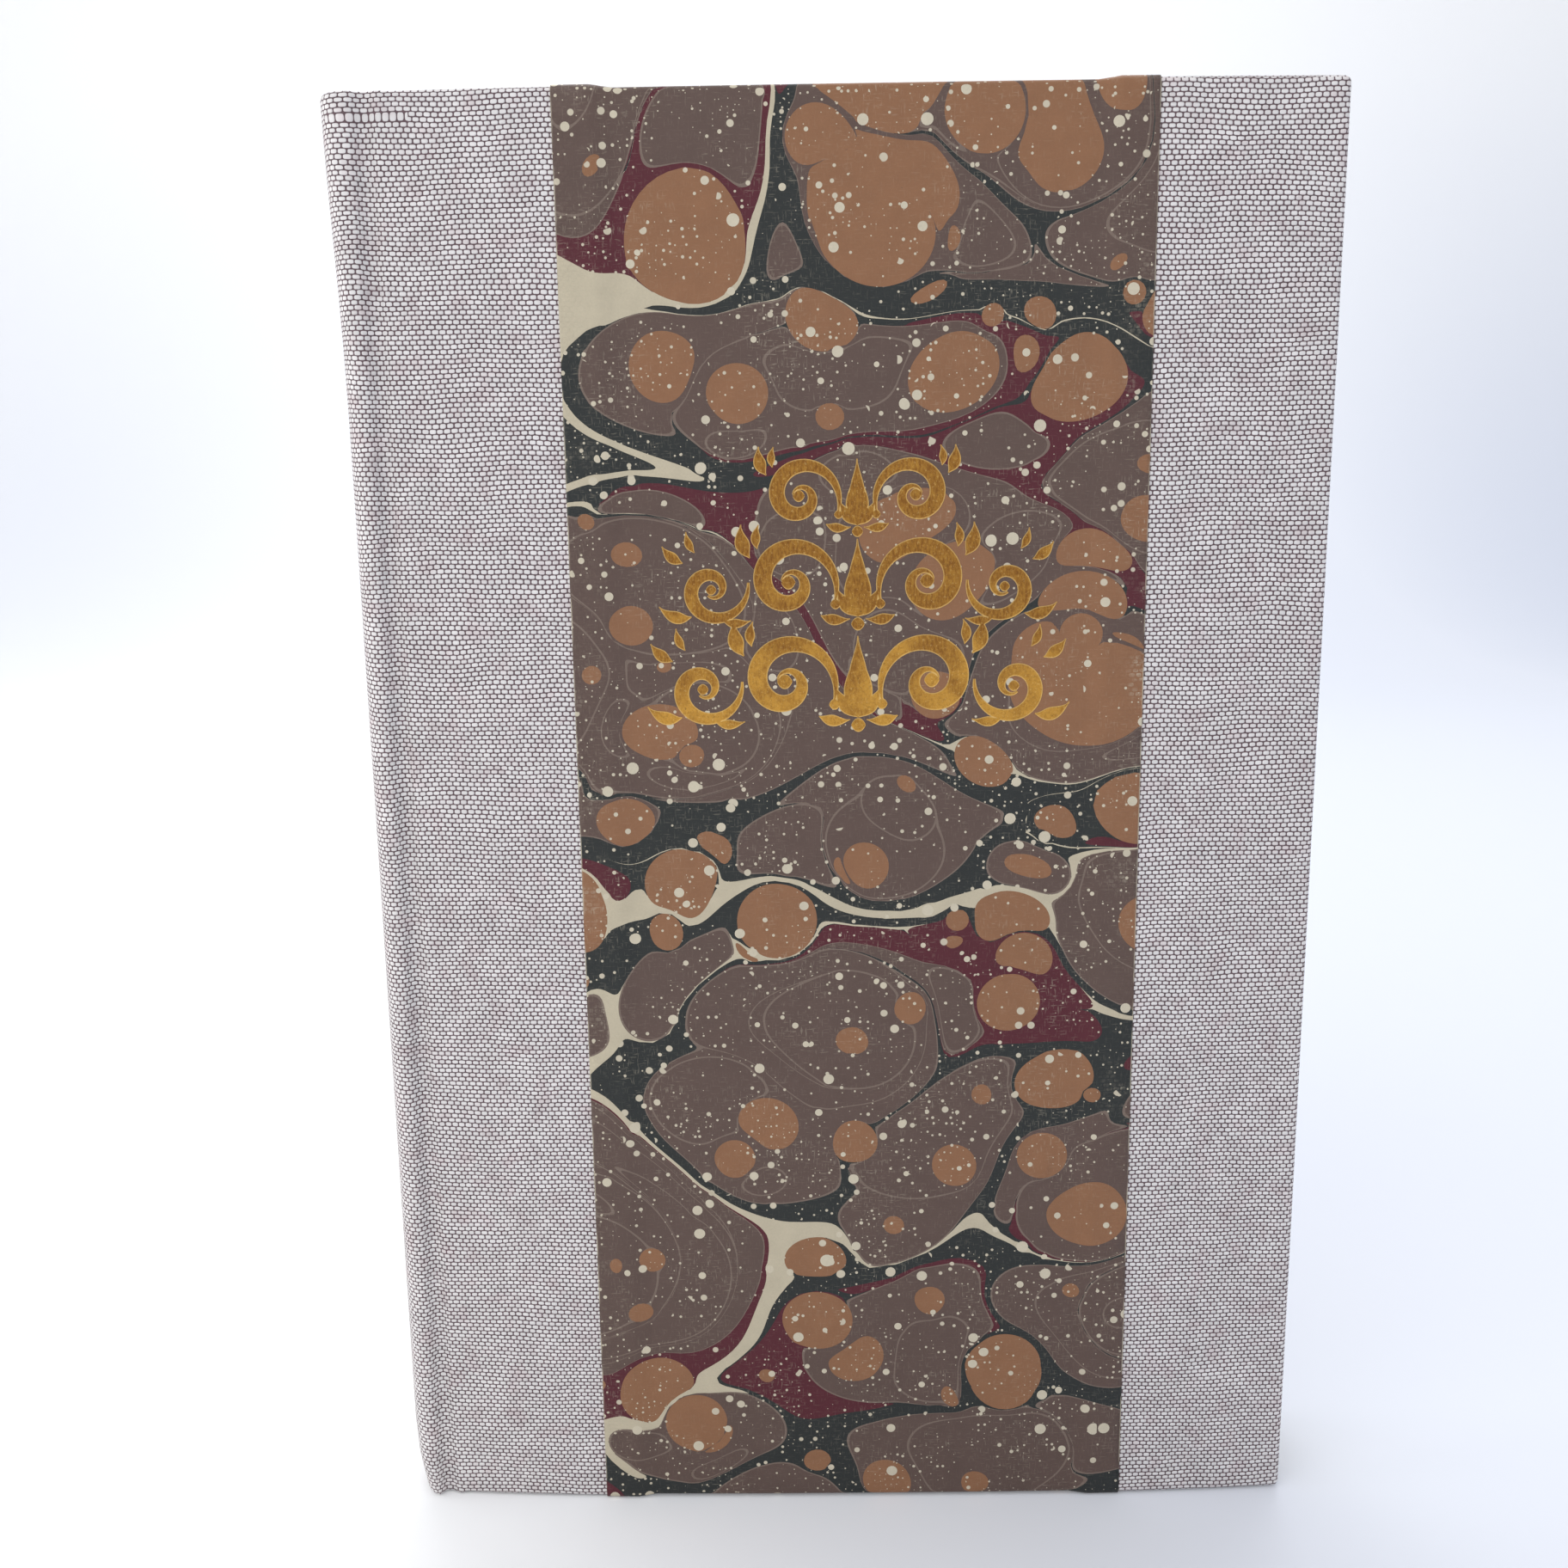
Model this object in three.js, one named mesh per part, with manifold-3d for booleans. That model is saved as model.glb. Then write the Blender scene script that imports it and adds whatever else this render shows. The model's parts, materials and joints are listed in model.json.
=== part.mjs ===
// A hand-bound book, closed and standing on its tail, in a case of boards covered with cloth along
// the spine and the fore edge and with marbled paper between them. The front cover faces -Y, the
// spine is at -X and the fore edge at +X. The origin is the middle of the footprint. Millimetres.

import * as THREE from 'three';
import { mergeVertices } from 'three/addons/utils/BufferGeometryUtils.js';
import Module from 'manifold-3d';

// Case, seen from the front
const caseHeight = 222;
const coverWidth = 144; // from the corner of the spine to the fore edge
const spineRound = 1.6; // bulge of the back past its corners
const spineStripWidth = 32; // cloth seen beside the marbled paper, on the spine side
const foreStripWidth = 27; // cloth seen beside the marbled paper, on the fore edge
const paperOverlap = 5; // marbled paper pasted over each cloth strip
const turnIn = 15; // covering folded over onto the inside of the boards
const pastedownMargin = 3; // covering left bare around the pastedown

// Boards
const boardThickness = 2.5;
const boardEdgeRadius = 0.5;
const boardBow = 1.8; // the boards arch outwards between spine and fore edge

// Sheets and the paste between them
const clothThickness = 0.45;
const paperThickness = 0.2;
const pastedownThickness = 0.2;
const glueLine = 0.05;

// Ridge and groove where a cover hinges on the spine
const cornerRadius = 3.1;
const ridgeHeight = 0.6; // above the cloth on the board
const ridgeToGroove = 2.2;
const grooveDepth = 0.8; // below the cloth on the board
const grooveToBoard = 2.4;
const boardSetback = 0.5; // from the top of the groove's slope to the board
const hingeOffset = 1.1; // hinge line behind the top of the ridge
const hingeClearance = 0.15;

// Pages
const blockThickness = 15;
const square = 3.2; // overhang of the cover past the pages
const shoulderHeight = 1;
const shoulderRun = 2.2;
const blockSwell = 0.6;
const foreEdgeHollow = 1.6;
const flyleafThickness = 0.25;
const coverClearance = 0.3; // between a flyleaf and the pastedown facing it

// Back of the pages
const inlayThickness = 0.8;
const hollowGap = 0.7; // air between the case and the lined back
const liningThickness = 0.2;
const mullThickness = 0.2;
const mullMargin = 16; // from the head and the tail of the pages
const mullFlapWidth = 26; // pasted onto each board
const tapeThickness = 0.3;
const tapeWidth = 14;
const tapeCount = 3;
const headbandRadius = 1.1;
const headbandTail = 8;
const headbandInset = 1; // from the tip of a shoulder

// Fineness of the curves
const boardSteps = 14;
const spineSteps = 8;
const bendSteps = 5;
const edgeSteps = 3;
const beadSteps = 10;
const archPower = 3;
const leastRadius = 0.03;

// Levels, measured outwards from the middle of the pages' thickness
const blockHalf = blockThickness / 2;
const shoulderHalf = blockHalf + shoulderHeight;
const flyleafLevel = blockHalf + glueLine;
const pastedownLevel = flyleafLevel + flyleafThickness + coverClearance;
const turnInStack = 2 * glueLine + clothThickness + paperThickness;
const slipStack = 2 * glueLine + tapeThickness + mullThickness;
const linerDepth = Math.max(turnInStack, slipStack);
const boardInner = pastedownLevel + pastedownThickness + glueLine + linerDepth;
const boardOuter = boardInner + boardThickness;
const boardMiddle = (boardInner + boardOuter) / 2;
const clothLevel = boardOuter + glueLine + clothThickness;
const ridgeLevel = clothLevel + ridgeHeight;
const cornerLevel = ridgeLevel - cornerRadius;

// Places across the cover
const halfWidth = (coverWidth + spineRound) / 2;
const cornerX = -halfWidth + spineRound;
const ridgeX = cornerX + cornerRadius;
const grooveX = ridgeX + ridgeToGroove;
const slopeEndX = grooveX + grooveToBoard;
const boardStartX = slopeEndX + boardSetback;
const boardEndX = halfWidth - glueLine - clothThickness;
const hingeX = ridgeX + hingeOffset;
const paperStartX = cornerX + spineStripWidth;
const paperEndX = halfWidth - foreStripWidth;
const spineClothEndX = paperStartX + paperOverlap;
const foreClothStartX = paperEndX - paperOverlap;

// Places up the cover: the marbled paper lies over the cloth, so it is what touches the table
const clothLow = paperThickness + glueLine;
const boardLow = clothLow + clothThickness + glueLine;
const boardHigh = caseHeight - boardLow;
const blockLow = square;
const blockHigh = caseHeight - square;
const mullLow = Math.max(blockLow + mullMargin, boardLow + turnIn + glueLine);
const mullHigh = caseHeight - mullLow;

// Back of the pages, from the case inwards
const spineCore = inlayThickness + 2 * glueLine;
const liningX = -halfWidth + 2 * clothThickness + spineCore + hollowGap;
const mullX = liningX + liningThickness + glueLine;
const tapeX = mullX + mullThickness + glueLine;
const blockX = tapeX + tapeThickness + glueLine;
const spineRise = (level) => spineRound * (level / cornerLevel) ** 2;
const shoulderX = blockX + spineRise(shoulderHalf);
const blockSideX = shoulderX + shoulderRun;
const blockEndX = halfWidth - square;
const coverInsideX = Math.max(hingeX, blockSideX - shoulderRun / 2) + hingeClearance;

const colours = {
  cloth: 0xb9b0b0, marbled: 0x4a3f38, board: 0x8d8069, paper: 0xe9e3d3, endpaper: 0xe6dfcb,
  mull: 0xd8d2c0, tape: 0xd3cab2, kraft: 0x9c7a52, silk: 0x6b2330,
};
const FRONT = -1;
const BACK = 1;

const wasm = await Module();
wasm.setup();

const range = (count) => Array.from({ length: count }, (_, i) => i);
const steps = (count) => range(count + 1).map((i) => i / count);
const blend = (from, to, share) => from + (to - from) * share;

// A broken line in place of the smooth arch, so that neighbouring sheets share their bends
function arch(start, end, height) {
  const knots = steps(boardSteps).map((share) => ({
    x: blend(start, end, share),
    rise: height * (1 - Math.abs(2 * share - 1) ** archPower),
  }));
  const riseAt = (x) => {
    const share = THREE.MathUtils.clamp((x - start) / (end - start), 0, 1) * boardSteps;
    const low = Math.min(Math.floor(share), boardSteps - 1);
    return blend(knots[low].rise, knots[low + 1].rise, share - low);
  };
  const between = (from, to) => [
    from,
    ...knots.map((knot) => knot.x).filter((x) => x > from + leastRadius && x < to - leastRadius),
    to,
  ];
  return { riseAt, between };
}

const boardArch = arch(boardStartX, boardEndX, boardBow);
const blockArch = arch(blockSideX, blockEndX, blockSwell);

// Turns the faces of a closed geometry outwards, whichever way they were wound
function outward(geometry) {
  const at = geometry.getAttribute('position');
  const index = geometry.getIndex();
  const [a, b, c] = range(3).map(() => new THREE.Vector3());
  let volume = 0;
  for (let i = 0; i < index.count; i += 3) {
    a.fromBufferAttribute(at, index.getX(i));
    b.fromBufferAttribute(at, index.getX(i + 1));
    c.fromBufferAttribute(at, index.getX(i + 2));
    volume += a.dot(b.cross(c));
  }
  if (volume < 0) index.array.reverse();
  return geometry;
}

// Triangles over an outline, wound the way the outline runs or against it
function lid(outline, start, alongOutline) {
  const asGiven = THREE.ShapeUtils.isClockWise(outline) !== alongOutline;
  return THREE.ShapeUtils.triangulateShape([...outline], []).flatMap(
    ([a, b, c]) => (asGiven ? [a, b, c] : [c, b, a]).map((i) => i + start),
  );
}

// Joins outlines of equal counts, one after another, and closes both ends. Each station has an
// outline in its own plane and a function that places a point of it in space.
function loft(stations) {
  const count = stations[0].outline.length;
  const points = stations.flatMap(({ outline, place }) => outline.map(place));
  const faces = [];
  for (let s = 0; s + 1 < stations.length; s += 1) {
    for (let i = 0; i < count; i += 1) {
      const [a, b] = [s * count + i, s * count + ((i + 1) % count)];
      faces.push(a, b, b + count, a, b + count, a + count);
    }
  }
  const last = (stations.length - 1) * count;
  faces.push(...lid(stations[0].outline, 0, false), ...lid(stations.at(-1).outline, last, true));
  const geometry = new THREE.BufferGeometry().setFromPoints(points);
  geometry.setIndex(new THREE.BufferAttribute(new Uint32Array(faces), 1));
  return outward(geometry);
}

// A plan outline of points (x, level) drawn straight up, on the front or the back half
function upright(outline, side, low, high) {
  const shape = new THREE.Shape(outline.map((p) => new THREE.Vector2(p.x, side * p.y)));
  const geometry = new THREE.ExtrudeGeometry(shape, { depth: high - low, bevelEnabled: false });
  geometry.deleteAttribute('normal');
  geometry.deleteAttribute('uv');
  return mergeVertices(geometry.translate(0, 0, low), 1e-5);
}

// A flat sheet that follows an arch, from one level outwards by its thickness
function sheet({ riseAt, between }, from, to, level, thickness, side, low, high) {
  const xs = between(from, to);
  const inner = xs.map((x) => new THREE.Vector2(x, level + riseAt(x)));
  const outer = xs.map((x) => new THREE.Vector2(x, level + thickness + riseAt(x)));
  return upright([...inner, ...outer.reverse()], side, low, high);
}

function quarter(cx, cy, radius, fromTurn) {
  return steps(edgeSteps).map((share) => {
    const angle = (fromTurn + share) * Math.PI / 2;
    return new THREE.Vector2(cx + radius * Math.cos(angle), cy + radius * Math.sin(angle));
  });
}

// A rectangle with rounded corners, in level and height, grown by an offset
function boardOutline(offset, inset = 0) {
  const radius = Math.max(boardEdgeRadius + offset - inset, leastRadius);
  const halfDepth = boardThickness / 2 + offset - inset - radius;
  const low = boardLow - offset + inset + radius;
  const high = boardHigh + offset - inset - radius;
  return [
    ...quarter(halfDepth, high, radius, 0),
    ...quarter(-halfDepth, high, radius, 1),
    ...quarter(-halfDepth, low, radius, 2),
    ...quarter(halfDepth, low, radius, 3),
  ];
}

const boardStation = (x, side, offset, inset) => ({
  outline: boardOutline(offset, inset),
  place: (p) => new THREE.Vector3(x, side * (boardMiddle + boardArch.riseAt(x) + p.x), p.y),
});

// A board-shaped block with rounded edges, or the space around one, grown by an offset
function boardBlock(side, offset, from, to, roundStart) {
  const radius = boardEdgeRadius + offset;
  const rounding = steps(edgeSteps).slice(1).map((share) => share * Math.PI / 2);
  const ends = rounding.map((angle) => ({
    reach: radius * Math.sin(angle),
    inset: radius * (1 - Math.cos(angle)),
  }));
  const start = roundStart ? from + radius : from;
  const body = boardArch.between(start, to - radius).map((x) => boardStation(x, side, offset, 0));
  const close = ends.map((e) => boardStation(to - radius + e.reach, side, offset, e.inset));
  const open = ends.map((e) => boardStation(start - e.reach, side, offset, e.inset));
  return loft([...(roundStart ? open.reverse() : []), ...body, ...close]);
}

// A fold stays a little narrower than what it holds, so that both of its corners fit
const foldRadius = (wanted, core) => Math.min(wanted, core * 0.45);

// The section of a sheet that covers a face and is folded over at the head and the tail: depth
// from the outer face inwards, and height. What it holds is as thick as the core.
function wrapOutline(thickness, core, low, fold) {
  const radius = foldRadius(fold, core);
  const depth = 2 * thickness + core;
  const high = caseHeight - low;
  const outer = radius + thickness;
  return [
    ...quarter(outer, low + outer, outer, 2),
    ...quarter(depth - outer, low + outer, outer, 3),
    new THREE.Vector2(depth, low + turnIn),
    new THREE.Vector2(depth - thickness, low + turnIn),
    ...quarter(depth - outer, low + outer, radius, 3).reverse(),
    ...quarter(outer, low + outer, radius, 2).reverse(),
    ...quarter(outer, high - outer, radius, 1).reverse(),
    ...quarter(depth - outer, high - outer, radius, 0).reverse(),
    new THREE.Vector2(depth - thickness, high - turnIn),
    new THREE.Vector2(depth, high - turnIn),
    ...quarter(depth - outer, high - outer, outer, 0),
    ...quarter(outer, high - outer, outer, 1),
  ];
}

// Places a section of depth and height across a plan path: a point, and the inward direction
const across = (side, x, level, inward) => (p) => new THREE.Vector3(
  x + p.x * inward.x,
  side * (level + p.x * inward.y),
  p.y,
);

const flatInward = new THREE.Vector2(0, -1);
const clothFold = boardEdgeRadius + glueLine;

function curveStations(curve, count) {
  return steps(count).map((share) => {
    const point = curve.getPoint(share);
    const along = curve.getTangent(share);
    return { x: point.x, level: point.y, inward: new THREE.Vector2(along.y, -along.x) };
  });
}

const plan = (x, level) => new THREE.Vector2(x, level);

// The plan of the cloth's outer face, from the middle of the spine to the ridge
const spineCurve = new THREE.QuadraticBezierCurve(
  plan(-halfWidth, 0),
  plan(-halfWidth, cornerLevel / 2),
  plan(cornerX, cornerLevel),
);
const cornerPull = cornerRadius * 0.55;
const cornerWay = plan(2 * spineRound, cornerLevel).normalize().multiplyScalar(cornerPull);
const cornerCurve = new THREE.CubicBezierCurve(
  plan(cornerX, cornerLevel),
  plan(cornerX, cornerLevel).add(cornerWay),
  plan(ridgeX - cornerPull, ridgeLevel),
  plan(ridgeX, ridgeLevel),
);

// An S-shaped slope between two levels, level at both ends
function slopeCurve(fromX, fromLevel, toX, toLevel) {
  const middle = (fromX + toX) / 2;
  return new THREE.CubicBezierCurve(
    plan(fromX, fromLevel),
    plan(middle, fromLevel),
    plan(middle, toLevel),
    plan(toX, toLevel),
  );
}

const grooveLevel = clothLevel - grooveDepth;
const downSlope = slopeCurve(ridgeX, ridgeLevel, grooveX, grooveLevel);
const upSlope = slopeCurve(grooveX, grooveLevel, slopeEndX, clothLevel);

const spineHalfPath = [
  ...curveStations(spineCurve, spineSteps),
  ...curveStations(cornerCurve, bendSteps).slice(1),
];
const downPath = curveStations(downSlope, 2 * bendSteps);
const ridgePath = downPath.filter((s) => s.x > ridgeX && s.x < hingeX - hingeClearance / 2);
const groovePath = [
  ...downPath.filter((s) => s.x > hingeX + hingeClearance / 2),
  ...curveStations(upSlope, bendSteps).slice(1),
];

const mirrored = (s) => ({
  ...s,
  level: -s.level,
  inward: new THREE.Vector2(s.inward.x, -s.inward.y),
});
const bothHalves = (half) => [...half.slice(1).map(mirrored).reverse(), ...half];

const wrapStation = (side, core) => ({ x, level, inward }) => ({
  outline: wrapOutline(clothThickness, core, clothLow, clothFold),
  place: across(side, x, level, inward),
});

function spineCloth() {
  const overInlay = bothHalves(spineHalfPath).map(wrapStation(BACK, spineCore));
  const overRidge = ridgePath.map(wrapStation(BACK, glueLine));
  const underRidge = ridgePath.map(mirrored).map(wrapStation(BACK, glueLine)).reverse();
  return loft([...underRidge, ...overInlay, ...overRidge]);
}

function spineInlay() {
  const radius = foldRadius(clothFold, spineCore) - glueLine;
  const from = clothThickness + glueLine + radius;
  const to = from + inlayThickness - 2 * radius;
  const outline = [
    ...quarter(from, boardLow + radius, radius, 2),
    ...quarter(to, boardLow + radius, radius, 3),
    ...quarter(to, boardHigh - radius, radius, 0),
    ...quarter(from, boardHigh - radius, radius, 1),
  ];
  return loft(bothHalves(spineHalfPath).map(({ x, level, inward }) => ({
    outline,
    place: across(BACK, x, level, inward),
  })));
}

function spineSideCloth(side) {
  const held = boardThickness + 2 * glueLine;
  const overBoard = boardArch.between(boardStartX - leastRadius, spineClothEndX).map((x) => ({
    x, level: clothLevel + boardArch.riseAt(x), inward: flatInward,
  }));
  return loft([
    ...groovePath.map(wrapStation(side, glueLine)),
    ...overBoard.map(wrapStation(side, held)),
  ]);
}

const toSolid = (geometry) => {
  const merged = mergeVertices(geometry, 1e-5);
  return new wasm.Manifold(new wasm.Mesh({
    numProp: 3,
    vertProperties: new Float32Array(merged.getAttribute('position').array),
    triVerts: new Uint32Array(merged.getIndex().array),
  }));
};

const toGeometry = (solid) => {
  const { vertProperties, triVerts } = solid.getMesh();
  const geometry = new THREE.BufferGeometry();
  geometry.setAttribute('position', new THREE.BufferAttribute(vertProperties, 3));
  geometry.setIndex(new THREE.BufferAttribute(triVerts, 1));
  return geometry;
};

// The strip that wraps the fore edge, the head and the tail like a lid, open over the inside
function foreEdgeCloth(side) {
  const clothOffset = glueLine + clothThickness;
  const cut = 1;
  const outside = boardBlock(side, clothOffset, foreClothStartX, halfWidth, false);
  const inside = boardBlock(side, glueLine, foreClothStartX - cut, boardEndX + glueLine, false);
  const window = [
    plan(-boardThickness, clothLow + turnIn), plan(0, clothLow + turnIn),
    plan(0, caseHeight - clothLow - turnIn), plan(-boardThickness, caseHeight - clothLow - turnIn),
  ];
  const opening = loft(boardArch.between(foreClothStartX - cut, halfWidth - turnIn).map((x) => ({
    outline: window,
    place: (p) => new THREE.Vector3(x, side * (boardMiddle + boardArch.riseAt(x) + p.x), p.y),
  })));
  return toGeometry(toSolid(outside).subtract(toSolid(inside)).subtract(toSolid(opening)));
}

// The marbled paper steps up onto the cloth strips near its two long edges
function marbledPanel(side) {
  const onCloth = glueLine + clothThickness + glueLine;
  const stepRun = 1.1;
  const stepStart = 0.1;
  const steppedX = [
    spineClothEndX + stepStart, spineClothEndX + stepRun,
    foreClothStartX - stepRun, foreClothStartX - stepStart,
  ];
  const offsetAt = (x) => {
    const past = Math.min(x - steppedX[0], steppedX[3] - x) / (stepRun - stepStart);
    return blend(onCloth, glueLine, THREE.MathUtils.clamp(past, 0, 1));
  };
  const stations = [...boardArch.between(paperStartX, paperEndX), ...steppedX];
  return loft(stations.sort((a, b) => a - b).map((x) => {
    const offset = offsetAt(x);
    const low = boardLow - offset - paperThickness;
    const core = boardThickness + 2 * offset;
    const level = boardOuter + offset + paperThickness + boardArch.riseAt(x);
    return {
      outline: wrapOutline(paperThickness, core, low, boardEdgeRadius + offset),
      place: across(side, x, level, flatInward),
    };
  }));
}

const slipLevel = boardInner - glueLine - tapeThickness;
const flapLevel = slipLevel - glueLine - mullThickness;
const flapEndX = boardStartX + mullFlapWidth;
const tapeMiddle = (i) => blend(mullLow, mullHigh, (i + 1) / (tapeCount + 1));

const infill = (side) => sheet(
  boardArch, flapEndX + coverClearance, halfWidth - turnIn - coverClearance,
  boardInner - linerDepth, linerDepth - glueLine, side,
  boardLow + turnIn + coverClearance, boardHigh - turnIn - coverClearance,
);
const mullFlap = (side) => sheet(
  boardArch, coverInsideX, flapEndX, flapLevel, mullThickness, side, mullLow, mullHigh,
);
const tapeSlip = (side, i) => sheet(
  boardArch, coverInsideX, flapEndX, slipLevel, tapeThickness, side,
  tapeMiddle(i) - tapeWidth / 2, tapeMiddle(i) + tapeWidth / 2,
);
const pastedown = (side) => sheet(
  boardArch, coverInsideX, halfWidth - pastedownMargin, pastedownLevel, pastedownThickness, side,
  pastedownMargin, caseHeight - pastedownMargin,
);
const flyleaf = (side) => sheet(
  blockArch, blockSideX, blockEndX, flyleafLevel, flyleafThickness, side, blockLow, blockHigh,
);

// The pages: a rounded back with shoulders, gently swollen sides and a hollow fore edge
function textBlock() {
  const back = steps(spineSteps).map((share) => {
    const level = share * shoulderHalf;
    return plan(blockX + spineRise(level), level);
  });
  const shoulder = new THREE.QuadraticBezierCurve(
    plan(shoulderX, shoulderHalf),
    plan(shoulderX + shoulderRun * 0.3, blockHalf),
    plan(blockSideX, blockHalf),
  ).getPoints(edgeSteps).slice(1, -1);
  const side = blockArch.between(blockSideX, blockEndX).map(
    (x) => plan(x, blockHalf + blockArch.riseAt(x)),
  );
  const foreEdge = steps(spineSteps).slice(1).map((share) => plan(
    blockEndX - foreEdgeHollow * (1 - (1 - share) ** 2),
    blockHalf * (1 - share),
  ));
  const half = [...back, ...shoulder, ...side, ...foreEdge];
  const other = half.slice(1, -1).map((p) => plan(p.x, -p.y)).reverse();
  return upright([...half, ...other], BACK, blockLow, blockHigh);
}

// A sheet pasted across the rounded back of the pages
function backSheet(x, thickness, low, high) {
  const levels = steps(2 * spineSteps).map((share) => blend(-shoulderHalf, shoulderHalf, share));
  const outer = levels.map((level) => plan(x + spineRise(level), level));
  const inner = levels.map((level) => plan(x + thickness + spineRise(level), level));
  return upright([...outer, ...inner.reverse()], BACK, low, high);
}

// A worked band: a bead on the edge of the pages above a strip pasted down their back
function headband(edge, up) {
  const outer = -glueLine - tapeThickness;
  const centre = outer + headbandRadius;
  const rest = edge + up * glueLine;
  const beadHeight = rest + up * headbandRadius;
  const bead = steps(beadSteps).map((share) => {
    const angle = Math.PI * (1 - 1.5 * share);
    return plan(
      centre + headbandRadius * Math.cos(angle),
      beadHeight + up * headbandRadius * Math.sin(angle),
    );
  });
  const outline = [
    plan(outer, edge - up * headbandTail),
    ...bead,
    plan(-glueLine, rest),
    plan(-glueLine, edge - up * headbandTail),
  ];
  const half = shoulderHalf - headbandInset;
  const levels = steps(2 * spineSteps).map((share) => blend(-half, half, share));
  return loft(levels.map((level) => ({
    outline,
    place: (p) => new THREE.Vector3(blockX + spineRise(level) + p.x, level, p.y),
  })));
}

function piece(name, geometry, color, roughness) {
  const material = new THREE.MeshStandardMaterial({ color, roughness, metalness: 0 });
  const mesh = new THREE.Mesh(geometry, material);
  mesh.name = name;
  return mesh;
}

function pages() {
  const group = new THREE.Group();
  group.add(
    piece('text_block', textBlock(), colours.paper, 0.9),
    piece('front_flyleaf', flyleaf(FRONT), colours.endpaper, 0.85),
    piece('back_flyleaf', flyleaf(BACK), colours.endpaper, 0.85),
    ...range(tapeCount).map((i) => piece(
      `sewing_tape_${i + 1}`,
      backSheet(tapeX, tapeThickness, tapeMiddle(i) - tapeWidth / 2, tapeMiddle(i) + tapeWidth / 2),
      colours.tape, 0.95,
    )),
    piece('mull', backSheet(mullX, mullThickness, mullLow, mullHigh), colours.mull, 0.95),
    piece('spine_lining', backSheet(liningX, liningThickness, blockLow, blockHigh), colours.kraft, 0.9),
    piece('headband', headband(blockHigh, 1), colours.silk, 0.6),
    piece('tailband', headband(blockLow, -1), colours.silk, 0.6),
    piece('spine_inlay', spineInlay(), colours.board, 0.9),
    piece('spine_cloth', spineCloth(), colours.cloth, 0.9),
  );
  return group;
}

function cover(name, side) {
  const group = new THREE.Group();
  group.add(
    piece(`${name}_board`, boardBlock(side, 0, boardStartX, boardEndX, true), colours.board, 0.9),
    piece(`${name}_spine_side_cloth`, spineSideCloth(side), colours.cloth, 0.9),
    piece(`${name}_fore_edge_cloth`, foreEdgeCloth(side), colours.cloth, 0.9),
    piece(`${name}_marbled_panel`, marbledPanel(side), colours.marbled, 0.5),
    piece(`${name}_infill`, infill(side), colours.paper, 0.9),
    piece(`${name}_mull_flap`, mullFlap(side), colours.mull, 0.95),
    ...range(tapeCount).map((i) => piece(
      `${name}_tape_slip_${i + 1}`, tapeSlip(side, i), colours.tape, 0.95,
    )),
    piece(`${name}_pastedown`, pastedown(side), colours.endpaper, 0.85),
  );
  return group;
}

const book = new THREE.Group();
book.add(pages(), cover('front', FRONT), cover('back', BACK));

export default book;
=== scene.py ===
"""A hand-bound book in cloth and marbled paper, dressed and lit for a studio picture.

The case, the pages and the joints come from the frame. This script adds the coverings with their
weave and marbling, the gold ornament and the worked headbands, and finishes everything else.
All lengths are in metres. A cover is laid out by its level, the distance outwards from the
middle of the pages, so that the front and the back share one description.
"""

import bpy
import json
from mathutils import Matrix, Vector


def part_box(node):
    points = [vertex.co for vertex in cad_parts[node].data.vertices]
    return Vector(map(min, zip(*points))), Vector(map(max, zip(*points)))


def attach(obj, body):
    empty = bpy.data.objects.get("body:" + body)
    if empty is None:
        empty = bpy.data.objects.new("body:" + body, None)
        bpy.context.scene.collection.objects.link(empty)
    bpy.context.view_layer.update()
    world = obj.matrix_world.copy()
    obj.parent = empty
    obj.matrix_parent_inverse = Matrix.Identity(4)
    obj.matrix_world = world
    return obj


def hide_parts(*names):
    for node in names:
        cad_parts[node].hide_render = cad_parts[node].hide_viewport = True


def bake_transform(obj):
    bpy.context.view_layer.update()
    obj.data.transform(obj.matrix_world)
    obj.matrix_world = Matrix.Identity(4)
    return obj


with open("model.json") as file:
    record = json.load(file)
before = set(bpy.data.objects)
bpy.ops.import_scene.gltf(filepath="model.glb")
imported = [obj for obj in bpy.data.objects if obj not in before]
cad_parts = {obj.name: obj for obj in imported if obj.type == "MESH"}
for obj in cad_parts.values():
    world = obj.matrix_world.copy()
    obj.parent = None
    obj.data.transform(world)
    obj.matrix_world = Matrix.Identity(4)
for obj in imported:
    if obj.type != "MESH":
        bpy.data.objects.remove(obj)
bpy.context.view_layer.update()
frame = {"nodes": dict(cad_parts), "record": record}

import json
import logging
import math
import random
from dataclasses import dataclass, field
from enum import Enum
from typing import Callable, Iterable, Sequence, Union

import bmesh
import bpy
import numpy as np
from mathutils import Matrix, Vector
from mathutils.geometry import delaunay_2d_cdt, interpolate_bezier

log = logging.getLogger("book")

MM = 0.001
UV_NAME = "Sheet"
EDGE_NAME = "Edge"
BEAD = 1.08 * MM
ROW = 0.69 * MM

Pair = tuple[float, float]
Triple = tuple[float, float, float]
Colour = tuple[float, float, float, float]
Socket = bpy.types.NodeSocket
Node = bpy.types.Node
Material = bpy.types.Material
Piece = bpy.types.Object
Feed = Union[Socket, float, Sequence[float]]


class Side(Enum):
    """The two covers, by the sign of their Y."""

    FRONT = -1
    BACK = 1

    @property
    def body(self) -> str:
        """The body that the cover's pieces ride on."""
        return f"{self.name.lower()}_cover"

    def node(self, name: str) -> str:
        """The name of one of this cover's nodes."""
        return f"{self.name.lower()}_{name}"


class Ink(Enum):
    """The inks of the marbling, in the order of their material slots."""

    BARE = 0
    BLACK = 1
    MAROON = 2
    RIM = 3
    BROWN = 4
    TAN = 5
    DOT = 6


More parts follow.
